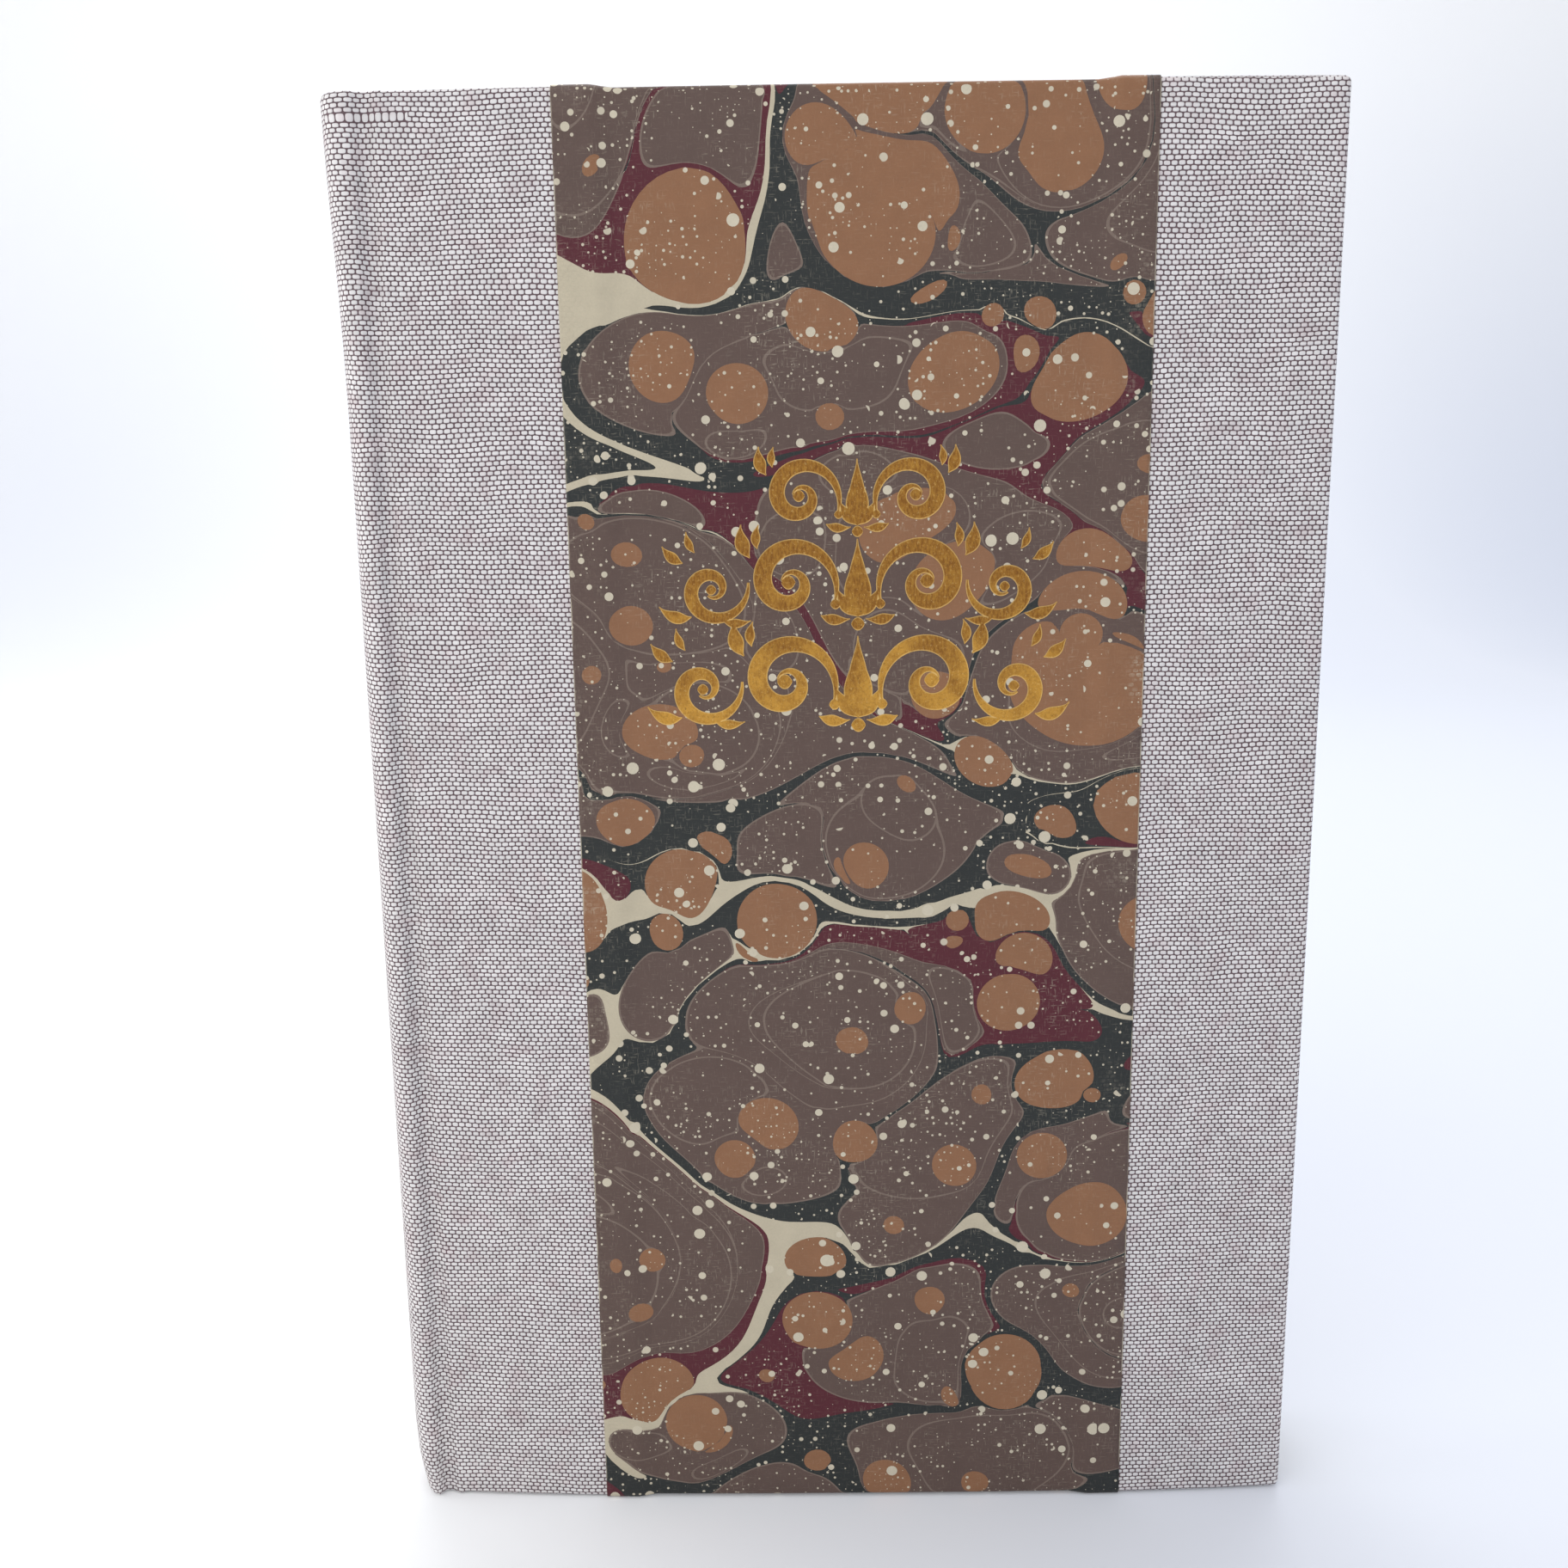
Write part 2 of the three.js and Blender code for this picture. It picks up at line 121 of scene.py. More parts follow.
def colour(code: str) -> Colour:
    """Turns a hex colour as seen on screen into a linear one.

    Args:
        code: Six hex digits.

    Returns:
        Red, green, blue and full alpha.
    """
    channels = [int(code[i : i + 2], 16) / 255 for i in (0, 2, 4)]
    linear = [c / 12.92 if c <= 0.04045 else ((c + 0.055) / 1.055) ** 2.4 for c in channels]
    return (*linear, 1.0)


def smooth(share: float) -> float:
    """Eases a share between 0 and 1.

    Args:
        share: Any number.

    Returns:
        The eased share, held at 0 or 1 outside.
    """
    held = min(max(share, 0.0), 1.0)
    return held * held * (3 - 2 * held)


def record_slots() -> dict[str, str]:
    """Returns the material slot of each node, from the record."""
    return {part["node"]: part["material_slot"] for part in frame["record"]["subparts"]}


class Graph:
    """A node tree with short ways to add nodes and join them."""

    def __init__(self, tree: bpy.types.NodeTree) -> None:
        """Starts from the tree that the nodes go in."""
        self.tree = tree

    def add(self, kind: str, **settings: object) -> Node:
        """Adds a node.

        Args:
            kind: The node's type.
            settings: Its properties by name.

        Returns:
            The node.
        """
        node = self.tree.nodes.new(kind)
        for name, value in settings.items():
            setattr(node, name, value)
        return node

    def feed(self, socket: Socket, value: Feed) -> None:
        """Links a socket to an input, or sets the input to a plain value.

        Args:
            socket: The input.
            value: A socket, a number or numbers.
        """
        if isinstance(value, bpy.types.NodeSocket):
            self.tree.links.new(value, socket)
        else:
            socket.default_value = value

    def math(self, operation: str, *values: Feed, clamp: bool = False) -> Socket:
        """Adds a Math node.

        Args:
            operation: What it works out.
            values: Its inputs.
            clamp: Whether the result is held between 0 and 1.

        Returns:
            The result.
        """
        node = self.add("ShaderNodeMath", operation=operation, use_clamp=clamp)
        for socket, value in zip(node.inputs, values):
            self.feed(socket, value)
        return node.outputs[0]

    def vector(self, operation: str, *values: Feed) -> Socket:
        """Adds a Vector Math node.

        Args:
            operation: What it works out.
            values: Its inputs.

        Returns:
            The vector.
        """
        node = self.add("ShaderNodeVectorMath", operation=operation)
        for socket, value in zip(node.inputs, values):
            self.feed(socket, value)
        return node.outputs[0]

    def product(self, *values: Feed) -> Socket:
        """Multiplies numbers.

        Args:
            values: Two or more sockets or numbers.

        Returns:
            Their product.
        """
        result = values[0]
        for value in values[1:]:
            result = self.math("MULTIPLY", result, value)
        return result

    def scaled(self, vector: Socket, size: Feed) -> Socket:
        """Divides a vector of metres by a size, so that one unit is that size.

        Args:
            vector: The place, in metres.
            size: The size, in metres.

        Returns:
            The place, counted in that size.
        """
        node = self.add("ShaderNodeVectorMath", operation="SCALE")
        self.feed(node.inputs[0], vector)
        plain = isinstance(size, float)
        self.feed(node.inputs["Scale"], 1 / size if plain else self.math("DIVIDE", 1.0, size))
        return node.outputs[0]

    def split(self, vector: Socket) -> tuple[Socket, Socket, Socket]:
        """Takes a vector apart.

        Args:
            vector: The vector.

        Returns:
            Its three numbers.
        """
        node = self.add("ShaderNodeSeparateXYZ")
        self.feed(node.inputs[0], vector)
        return tuple(node.outputs)

    def join(self, x: Feed, y: Feed, z: Feed = 0.0) -> Socket:
        """Makes a vector.

        Args:
            x: Its first number.
            y: Its second number.
            z: Its third number.

        Returns:
            The vector.
        """
        node = self.add("ShaderNodeCombineXYZ")
        for socket, value in zip(node.inputs, (x, y, z)):
            self.feed(socket, value)
        return node.outputs[0]

    def shaded(self, tone: Feed, level: Feed) -> Socket:
        """Makes a colour lighter or darker.

        Args:
            tone: The colour.
            level: What it is multiplied by.

        Returns:
            The changed colour.
        """
        return self.mix(1.0, tone, self.join(level, level, level), "MULTIPLY")

    def ramp(self, value: Feed, low: float, high: float, out: Pair = (0.0, 1.0)) -> Socket:
        """Maps a value from one range to another with soft ends, held at both.

        Args:
            value: The value.
            low: Start of its range.
            high: End of its range.
            out: Start and end of the range that it is mapped to.

        Returns:
            The mapped value.
        """
        node = self.add("ShaderNodeMapRange", interpolation_type="SMOOTHSTEP")
        for socket, given in zip(node.inputs, (value, low, high, *out)):
            self.feed(socket, given)
        return node.outputs[0]

    def mix(self, share: Feed, first: Feed, second: Feed, blend: str = "MIX") -> Socket:
        """Mixes two colours.

        Args:
            share: Share of the second.
            first: The first colour.
            second: The second colour.
            blend: How they are mixed.

        Returns:
            The mixed colour.
        """
        node = self.add("ShaderNodeMix", data_type="RGBA", blend_type=blend)
        self.feed(node.inputs["Factor"], share)
        self.feed(node.inputs[6], first)
        self.feed(node.inputs[7], second)
        return node.outputs[2]

    def noise(self, vector: Socket, size: float, detail: float = 2.0, rough: float = 0.5) -> Socket:
        """Adds noise with features of about one size.

        Args:
            vector: The place, in metres.
            size: The size of a feature, in metres.
            detail: How many finer layers it has.
            rough: How strong the finer layers are.

        Returns:
            A value between 0 and 1.
        """
        node = self.add("ShaderNodeTexNoise", noise_dimensions="3D")
        self.feed(node.inputs["Vector"], self.scaled(vector, size))
        node.inputs["Scale"].default_value = 1.0
        node.inputs["Detail"].default_value = detail
        node.inputs["Roughness"].default_value = rough
        return node.outputs["Fac"]

    def chance(self, x: Feed, y: Feed, salt: float = 0.0) -> Socket:
        """Draws a random number for a pair of whole numbers.

        Args:
            x: The first number.
            y: The second number.
            salt: Another value gives another draw.

        Returns:
            A number between 0 and 1.
        """
        node = self.add("ShaderNodeTexWhiteNoise", noise_dimensions="3D")
        self.feed(node.inputs["Vector"], self.join(x, y, salt))
        return node.outputs["Value"]


@dataclass
class Effect:
    """A shader node group that is built once and placed where it is needed.

    Attributes:
        name: The group's name.
        takes: Name and socket type of each input.
        gives: Name and socket type of each output.
        build: Fills the group, given its graph, its input node and its output node.
    """

    name: str
    takes: dict[str, str]
    gives: dict[str, str]
    build: Callable[[Graph, Node, Node], None]

    def tree(self) -> bpy.types.NodeTree:
        """Builds the group's tree the first time.

        Returns:
            The tree.
        """
        made = bpy.data.node_groups.get(self.name)
        if made is not None:
            return made
        made = bpy.data.node_groups.new(self.name, "ShaderNodeTree")
        for name, kind in self.takes.items():
            made.interface.new_socket(name, in_out="INPUT", socket_type=kind)
        for name, kind in self.gives.items():
            made.interface.new_socket(name, in_out="OUTPUT", socket_type=kind)
        graph = Graph(made)
        self.build(graph, graph.add("NodeGroupInput"), graph.add("NodeGroupOutput"))
        return made

    def place(self, graph: Graph, **values: Feed) -> Node:
        """Places the group in a material.

        Args:
            graph: The material's graph.
            values: Inputs by name, with an underscore for a space.

        Returns:
            The group's node.
        """
        node = graph.add("ShaderNodeGroup", node_tree=self.tree())
        for name, value in values.items():
            graph.feed(node.inputs[name.replace("_", " ")], value)
        return node


FLOAT = "NodeSocketFloat"
VECTOR = "NodeSocketVector"
COLOUR = "NodeSocketColor"


def build_weave(g: Graph, given: Node, made: Node) -> None:
    """Fills the weave group: thick weft beads laid like bricks, with thin warp between them.

    A slub is a run of beads in one row that are two rows tall.

    Args:
        g: The group's graph.
        given: The group's inputs.
        made: The group's outputs.
    """
    at = given.outputs["Vector"]
    row_wander, warp_sway = 1.6 * MM, 0.4 * MM
    wander = g.math("SUBTRACT", g.noise(at, 17 * MM, 2.0), 0.5)
    sway = g.math("SUBTRACT", g.noise(at, 4.2 * MM, 1.0), 0.5)
    x, y, _ = g.split(at)
    x = g.math("ADD", x, g.math("MULTIPLY", sway, warp_sway))
    y = g.math("ADD", y, g.math("MULTIPLY", wander, row_wander))
    across = g.math("DIVIDE", x, given.outputs["Bead"])
    up = g.math("DIVIDE", y, given.outputs["Row"])
    past_slub = g.math("SUBTRACT", up, given.outputs["Slub row"])
    in_rows = g.math("COMPARE", past_slub, 1.0, 1.0)
    in_run = g.math("COMPARE", x, given.outputs["Slub middle"], given.outputs["Slub half"])
    slub = g.math("MULTIPLY", in_rows, in_run)
    row = g.math("SUBTRACT", g.math("FLOOR", up), g.math("MULTIPLY", slub, g.math("FLOOR", past_slub)))
    fraction = g.math("FRACT", up)
    longer = g.math("SUBTRACT", g.math("MULTIPLY", past_slub, 0.5), fraction)
    within = g.math("MULTIPLY_ADD", slub, longer, fraction)
    half_brick, unevenness = 0.5, 0.16
    shift = g.math("MULTIPLY", g.math("FLOORED_MODULO", row, 2.0), half_brick)
    jog = g.math("MULTIPLY", g.math("SUBTRACT", g.chance(row, 3.0), 0.5), unevenness)
    along = g.math("ADD", g.math("ADD", across, shift), jog)
    column = g.math("FLOOR", along)
    luck = g.chance(column, row)
    luck_too = g.chance(column, row, 7.0)
    from_middle = g.math("ABSOLUTE", g.math("SUBTRACT", g.math("FRACT", along), 0.5))
    from_row = g.math("ABSOLUTE", g.math("SUBTRACT", within, 0.5))
    half_bead = g.math("MULTIPLY_ADD", luck, 0.05, 0.425)
    half_row = g.math("MULTIPLY_ADD", luck_too, 0.06, 0.425)
    end = g.math("POWER", g.math("DIVIDE", from_middle, half_bead), 3.6)
    side = g.math("POWER", g.math("DIVIDE", from_row, half_row), 3.0)
    crown = g.math("SUBTRACT", 1.0, g.math("ADD", end, side), clamp=True)
    height = g.math("POWER", crown, 0.5)
    fibre = g.noise(g.vector("MULTIPLY", at, (1.0, 2.6, 1.0)), 0.22 * MM, 2.0, 0.6)
    g.feed(made.inputs["Height"], g.math("MULTIPLY_ADD", fibre, 0.16, height))
    g.feed(made.inputs["Thread"], g.ramp(crown, 0.0, 0.42))
    g.feed(made.inputs["Luck"], luck)


WEAVE = Effect(
    "Plain weave",
    {
        "Vector": VECTOR, "Bead": FLOAT, "Row": FLOAT,
        "Slub row": FLOAT, "Slub middle": FLOAT, "Slub half": FLOAT,
    },
    {"Height": FLOAT, "Thread": FLOAT, "Luck": FLOAT},
    build_weave,
)


def build_spatter(g: Graph, given: Node, made: Node) -> None:
    """Fills the spatter group: small round spots of random size, thick here and thin there.

    Args:
        g: The group's graph.
        given: The group's inputs.
        made: The group's outputs.
    """
    at = given.outputs["Vector"]
    node = g.add("ShaderNodeTexVoronoi", feature="F1", voronoi_dimensions="2D")
    g.feed(node.inputs["Vector"], g.scaled(at, given.outputs["Spacing"]))
    node.inputs["Scale"].default_value = 1.0
    node.inputs["Randomness"].default_value = 1.0
    luck, luck_too, _ = g.split(node.outputs["Color"])
    crowd = g.ramp(g.noise(at, 12 * MM, 2.0), 0.36, 0.68)
    keep = g.math("LESS_THAN", luck, g.math("MULTIPLY", crowd, given.outputs["Amount"]))
    least_radius, further = 0.08, 0.2
    radius = g.math("MULTIPLY_ADD", g.math("POWER", luck_too, 3.0), further, least_radius)
    edge = g.math("SUBTRACT", radius, node.outputs["Distance"])
    spot = g.ramp(edge, -0.015, 0.03)
    g.feed(made.inputs["Spot"], g.math("MULTIPLY", spot, keep))


SPATTER = Effect(
    "Spatter",
    {"Vector": VECTOR, "Spacing": FLOAT, "Amount": FLOAT},
    {"Spot": FLOAT},
    build_spatter,
)


def build_grain(g: Graph, given: Node, made: Node) -> None:
    """Fills the grain group: a colour with cloudy and fine variation, and a height to go with it.

    Args:
        g: The group's graph.
        given: The group's inputs.
        made: The group's outputs.
    """
    at = g.scaled(given.outputs["Vector"], given.outputs["Size"])
    cloud = g.noise(at, 9.0, 3.0)
    fine = g.noise(at, 1.0, 4.0, 0.65)
    both = g.math("ADD", g.math("SUBTRACT", cloud, 0.5), g.math("SUBTRACT", fine, 0.5))
    swing = g.math("MULTIPLY", both, given.outputs["Strength"])
    g.feed(made.inputs["Color"], g.shaded(given.outputs["Color"], g.math("ADD", 1.0, swing)))
    g.feed(made.inputs["Height"], fine)
    g.feed(made.inputs["Cloud"], cloud)


GRAIN = Effect(
    "Grain",
    {"Vector": VECTOR, "Color": COLOUR, "Size": FLOAT, "Strength": FLOAT},
    {"Color": COLOUR, "Height": FLOAT, "Cloud": FLOAT},
    build_grain,
)


def new_material(name: str) -> tuple[Material, Graph, Node]:
    """Starts a material.

    Args:
        name: The material's name.

    Returns:
        The material, its graph and its Principled shader.
    """
    material = bpy.data.materials.new(name)
    material.use_nodes = True
    graph = Graph(material.node_tree)
    return material, graph, material.node_tree.nodes["Principled BSDF"]


def add_bump(graph: Graph, shader: Node, height: Feed, depth: float) -> None:
    """Feeds a shader's normal from a height.

    Args:
        graph: The material's graph.
        shader: The Principled shader.
        height: The height, where 1 stands as far out as depth.
        depth: Depth of the relief, in metres.
    """
    bump = graph.add("ShaderNodeBump")
    bump.inputs["Strength"].default_value = 1.0
    bump.inputs["Distance"].default_value = depth
    graph.feed(bump.inputs["Height"], height)
    graph.feed(shader.inputs["Normal"], bump.outputs["Normal"])


def seen_share(graph: Graph) -> Socket:
    """Adds a value for light that shows things, as against light that falls on them.

    Args:
        graph: The graph of the material or the world.

    Returns:
        1 for what the camera sees, straight on, mirrored or through a surface, and 0 otherwise.
    """
    path = graph.add("ShaderNodeLightPath")
    seen = graph.math("MAXIMUM", path.outputs["Is Camera Ray"], path.outputs["Is Glossy Ray"])
    return graph.math("MAXIMUM", seen, path.outputs["Is Transmission Ray"])


def own_uv(graph: Graph) -> Socket:
    """Returns the piece's own sheet coordinates, in metres."""
    return graph.add("ShaderNodeUVMap", uv_map=UV_NAME).outputs["UV"]


def object_place(graph: Graph) -> Socket:
    """Returns the place on the object, in metres."""
    return graph.add("ShaderNodeTexCoord").outputs["Object"]


@dataclass(frozen=True)
class ClothFinish:
    """Book cloth of thick pale weft over thin dark warp.

    Attributes:
        name: The material's name.
        thread: Colour of most of the weft.
        rosy: Colour of the weft in places.
        shade: Colour between the beads.
        shade_too: The same in other places.
        bead: Distance between beads along a row.
        row: Height of a row.
        relief: Height of a bead.
        slub_row: The row of the slub.
        slub_middle: Place of the slub's middle.
        slub_half: Half the slub's length.
    """

    name: str = "book_cloth"
    thread: Colour = colour("e9e5e4")
    rosy: Colour = colour("e0d6d6")
    shade: Colour = colour("54474a")
    shade_too: Colour = colour("7a6268")
    bead: float = BEAD
    row: float = ROW
    relief: float = 0.16 * MM
    slub_row: float = 315.0
    slub_middle: float = -17.6 * MM
    slub_half: float = 6.2 * MM

    def make(self) -> Material:
        """Makes the material, patterned by the piece's own sheet coordinates.

        Returns:
            The material.
        """
        material, g, shader = new_material(self.name)
        at = own_uv(g)
        weave = WEAVE.place(
            g, Vector=at, Bead=self.bead, Row=self.row,
            Slub_row=self.slub_row, Slub_middle=self.slub_middle, Slub_half=self.slub_half,
        )
        rosy = g.ramp(g.noise(at, 3.5 * MM, 2.0), 0.48, 0.74)
        dull = g.ramp(g.noise(at, 6 * MM, 3.0), 0.25, 0.8, (0.93, 1.05))
        each = g.math("MULTIPLY_ADD", weave.outputs["Luck"], 0.10, 0.93)
        thread = g.shaded(g.mix(rosy, self.thread, self.rosy), g.product(each, dull))
        shade = g.mix(g.noise(at, 3.1 * MM, 2.0), self.shade, self.shade_too)
        g.feed(shader.inputs["Base Color"], g.mix(weave.outputs["Thread"], shade, thread))
        shader.inputs["Roughness"].default_value = 0.88
        shader.inputs["Specular IOR Level"].default_value = 0.25
        shader.inputs["Sheen Weight"].default_value = 0.08
        add_bump(g, shader, weave.outputs["Height"], self.relief)
        return material


@dataclass(frozen=True)
class MarbledFinish:
    """One ink of the marbled paper, with the spatter that falls over all of them.

    Attributes:
        ink: The ink.
        tint: Its colour.
        cream: Colour of the spatter and of worn paper.
        width: Width of the sheet.
        rubbed_width: Width of the edge that lies on cloth, where the weave shows as wear.
        large_spots: Spacing and amount of the large spots.
        small_spots: Spacing and amount of the small spots.
        aside: Shift of the small spots, so that they don't follow the large ones.
        relief: Depth of the paper's own grain.
        weave_relief: Depth of the weave under the paper, counted in that grain.
    """

    ink: Ink
    tint: Colour
    cream: Colour = colour("cbc1ab")
    width: float = 85 * MM
    rubbed_width: float = 5.8 * MM
    large_spots: Pair = (2.3 * MM, 0.42)
    small_spots: Pair = (0.95 * MM, 0.5)
    aside: Triple = (0.31, 0.17, 0.0)
    relief: float = 0.02 * MM
    weave_relief: float = 1.6

    def make(self) -> Material:
        """Makes the material, patterned by the sheet's own coordinates.

        Returns:
            The material.
        """
        material, g, shader = new_material(f"marbled_{self.ink.name.lower()}")
        at = own_uv(g)
        x, _, _ = g.split(at)
        grain = GRAIN.place(g, Vector=at, Color=self.tint, Size=0.35 * MM, Strength=0.22)
        tone = grain.outputs["Color"]
        if self.ink not in (Ink.DOT, Ink.BARE):
            tone = self.spattered(g, at, tone)
        from_edge = g.math("MINIMUM", x, g.math("SUBTRACT", self.width, x))
        near_edge = g.ramp(from_edge, 0.5 * MM, self.rubbed_width, (1.0, 0.0))
        weave = WEAVE.place(g, Vector=at, Bead=BEAD, Row=ROW)
        rubbed = g.ramp(g.noise(at, 11 * MM, 5.0, 0.65), 0.53, 0.70)
        patchy = g.ramp(g.noise(at, 1.1 * MM, 3.0, 0.7), 0.35, 0.75)
        worn = g.product(rubbed, near_edge, weave.outputs["Thread"], patchy)
        tone = g.mix(g.product(worn, 0.6), tone, self.cream)
        scratch = g.ramp(self.laid(g, at), 0.56, 0.74)
        faded = g.ramp(g.noise(at, 13 * MM, 3.0), 0.42, 0.72, (0.05, 0.30))
        tone = g.mix(g.product(scratch, faded), tone, self.cream)
        bared = g.ramp(g.noise(at, 6 * MM), 0.4, 0.6)
        cut = g.product(g.ramp(from_edge, 0.06 * MM, 0.2 * MM, (1.0, 0.0)), bared)
        tone = g.mix(g.product(cut, 0.7), tone, self.cream)
        g.feed(shader.inputs["Base Color"], tone)
        g.feed(shader.inputs["Roughness"], g.math("MULTIPLY_ADD", grain.outputs["Height"], 0.16, 0.44))
        shader.inputs["Specular IOR Level"].default_value = 0.33
        under = g.product(weave.outputs["Height"], near_edge, self.weave_relief)
        add_bump(g, shader, g.math("ADD", under, grain.outputs["Height"]), self.relief)
        return material

    def spattered(self, g: Graph, at: Socket, tone: Socket) -> Socket:
        """Lays cream spots of two sizes over a colour.

        Args:
            g: The material's graph.
            at: Place on the sheet.
            tone: The colour.

        Returns:
            The spotted colour.
        """
        large = SPATTER.place(g, Vector=at, Spacing=self.large_spots[0], Amount=self.large_spots[1])
        aside = g.vector("ADD", at, self.aside)
        small = SPATTER.place(g, Vector=aside, Spacing=self.small_spots[0], Amount=self.small_spots[1])
        spot = g.math("MAXIMUM", large.outputs["Spot"], small.outputs["Spot"])
        return g.mix(g.product(spot, 0.93), tone, self.cream)

    def laid(self, g: Graph, at: Socket) -> Socket:
        """Adds fine noise drawn out along and across the sheet, like the paper's own fibres.

        Args:
            g: The material's graph.
            at: Place on the sheet.

        Returns:
            A value between 0 and 1.
        """
        fibre, drawn = 0.25 * MM, 0.16
        along = g.noise(g.vector("MULTIPLY", at, (drawn, 1.0, 1.0)), fibre, 2.0, 0.6)
        across = g.noise(g.vector("MULTIPLY", at, (1.0, drawn, 1.0)), fibre, 2.0, 0.6)
        return g.math("MAXIMUM", along, across)


@dataclass(frozen=True)
class GrainFinish:
    """A plain material with cloudy and fine grain: paper, board, tape and thread.

    Attributes:
        name: The material's name.
        tint: Its colour.
        size: Size of the fine grain.
        strength: How much the colour varies.
        roughness: Roughness of the surface.
        relief: Depth of the grain.
        stretch: What each direction is multiplied by, where less than 1 draws the grain out.
    """

    name: str
    tint: Colour
    size: float = 0.4 * MM
    strength: float = 0.16
    roughness: float = 0.85
    relief: float = 0.03 * MM
    stretch: Triple = (1.0, 1.0, 1.0)

    def make(self) -> Material:
        """Makes the material, patterned by the place on the object.

        Returns:
            The material.
        """
        material, g, shader = new_material(self.name)
        at = g.vector("MULTIPLY", object_place(g), self.stretch)
        grain = GRAIN.place(g, Vector=at, Color=self.tint, Size=self.size, Strength=self.strength)
        g.feed(shader.inputs["Base Color"], grain.outputs["Color"])
        rough = g.math("MULTIPLY_ADD", grain.outputs["Cloud"], 0.1, self.roughness - 0.05)
        g.feed(shader.inputs["Roughness"], rough)
        shader.inputs["Specular IOR Level"].default_value = 0.3
        add_bump(g, shader, grain.outputs["Height"], self.relief)
        return material


@dataclass(frozen=True)
class FoilFinish:
    """Gold foil stamped with heat, a little broken and rubbed, with painted light and shade and painted
    highlights.

    Attributes:
        name: The material's name.
        bright: Colour where the foil is whole, and of the painted light low down.
        deep: Colour where it is dull, and of the painted shade high up.
        bare: Colour where it has gone.
        lip: Colour of its painted highlights, on the raised edge and in the glints.
        glow: Heights above which it is painted duller and below which it is painted brighter, as painted
            shade and light.
        relief: Depth of its flecks.
    """

    name: str = "gold_foil"
    bright: Colour = colour("c08f3c")
    deep: Colour = colour("80531f")
    bare: Colour = colour("4a3a22")
    lip: Colour = colour("d8b470")
    glow: Pair = (160 * MM, 128 * MM)
    relief: float = 0.03 * MM

    def make(self) -> Material:
        """Makes the material, patterned by the ornament's own coordinates.

        Returns:
            The material.
        """
        material, g, shader = new_material(self.name)
        at = own_uv(g)
        _, v, _ = g.split(at)
        # Painted light and shade: the foil is painted brighter low down and duller high up, on top of its
        # random mottling.
        low = g.ramp(v, self.glow[1], self.glow[0], (0.12, -0.22))
        mottle_and_painted_light = g.ramp(g.math("ADD", g.noise(at, 4.8 * MM, 3.0, 0.6), low), 0.34, 0.70)
        drawn = g.vector("MULTIPLY", at, (1.0, 0.3, 1.0))
        fleck = g.ramp(g.noise(drawn, 0.35 * MM, 3.0, 0.7), 0.34, 0.66)
        tone = g.mix(mottle_and_painted_light, self.deep, self.bright)
        tone = g.mix(g.product(fleck, 0.5), tone, self.bright)
        dull = g.ramp(g.noise(at, 0.55 * MM, 4.0, 0.75), 0.46, 0.66)
        tone = g.mix(g.product(dull, 0.42), tone, self.deep)
        # Painted glints: small spots in the painted highlight colour.
        glint = g.ramp(g.noise(at, 0.4 * MM, 3.0, 0.7), 0.56, 0.68)
        tone = g.mix(g.product(glint, 0.4), tone, self.lip)
        speck = g.ramp(g.noise(at, 0.6 * MM, 4.0, 0.75), 0.60, 0.70)
        tone = g.mix(g.product(speck, 0.6), tone, self.bare)
        # Painted highlight along the raised edge of the stamp.
        edge = g.add("ShaderNodeAttribute", attribute_name=EDGE_NAME).outputs["Fac"]
        tone = g.mix(g.product(edge, 0.8), tone, self.lip)
        g.feed(shader.inputs["Base Color"], tone)
        shader.inputs["Metallic"].default_value = 0.75
        g.feed(shader.inputs["Roughness"], g.math("MULTIPLY_ADD", fleck, -0.14, 0.5))
        add_bump(g, shader, fleck, self.relief)
        return material


@dataclass(frozen=True)
class SilkFinish:
    """Thread worked over a headband in two colours by turns.

    Attributes:
        name: The material's name.
        turn: Width of a stripe.
        first: Colour of one thread.
        second: Colour of the other.
        fibre: Size of the thread's grain.
        relief: Depth of that grain.
    """

    name: str = "silk_thread"
    turn: float = 1.2 * MM
    first: Colour = colour("6e1f2c")
    second: Colour = colour("d8ccb0")
    fibre: float = 0.15 * MM
    relief: float = 0.03 * MM

    def make(self) -> Material:
        """Makes the material, striped across the back of the pages.

        Returns:
            The material.
        """
        material, g, shader = new_material(self.name)
        at = object_place(g)
        _, y, _ = g.split(at)
        turn = g.math("FLOOR", g.math("DIVIDE", y, self.turn))
        odd = g.math("FLOORED_MODULO", turn, 2.0)
        tone = g.mix(odd, self.first, self.second)
        grain = GRAIN.place(g, Vector=at, Color=tone, Size=self.fibre, Strength=0.3)
        g.feed(shader.inputs["Base Color"], grain.outputs["Color"])
        shader.inputs["Roughness"].default_value = 0.5
        add_bump(g, shader, grain.outputs["Height"], self.relief)
        return material


@dataclass
class PlanPoint:
    """A point of the case seen from above.

    Attributes:
        x: Place across the cover.
        level: Distance outwards from the middle of the pages.
        inward: Direction from the outer face to the inside, as (x, level).
        run: Length of cloth from the middle of the spine.
    """

    x: float
    level: float
    inward: Pair
    run: float = 0.0


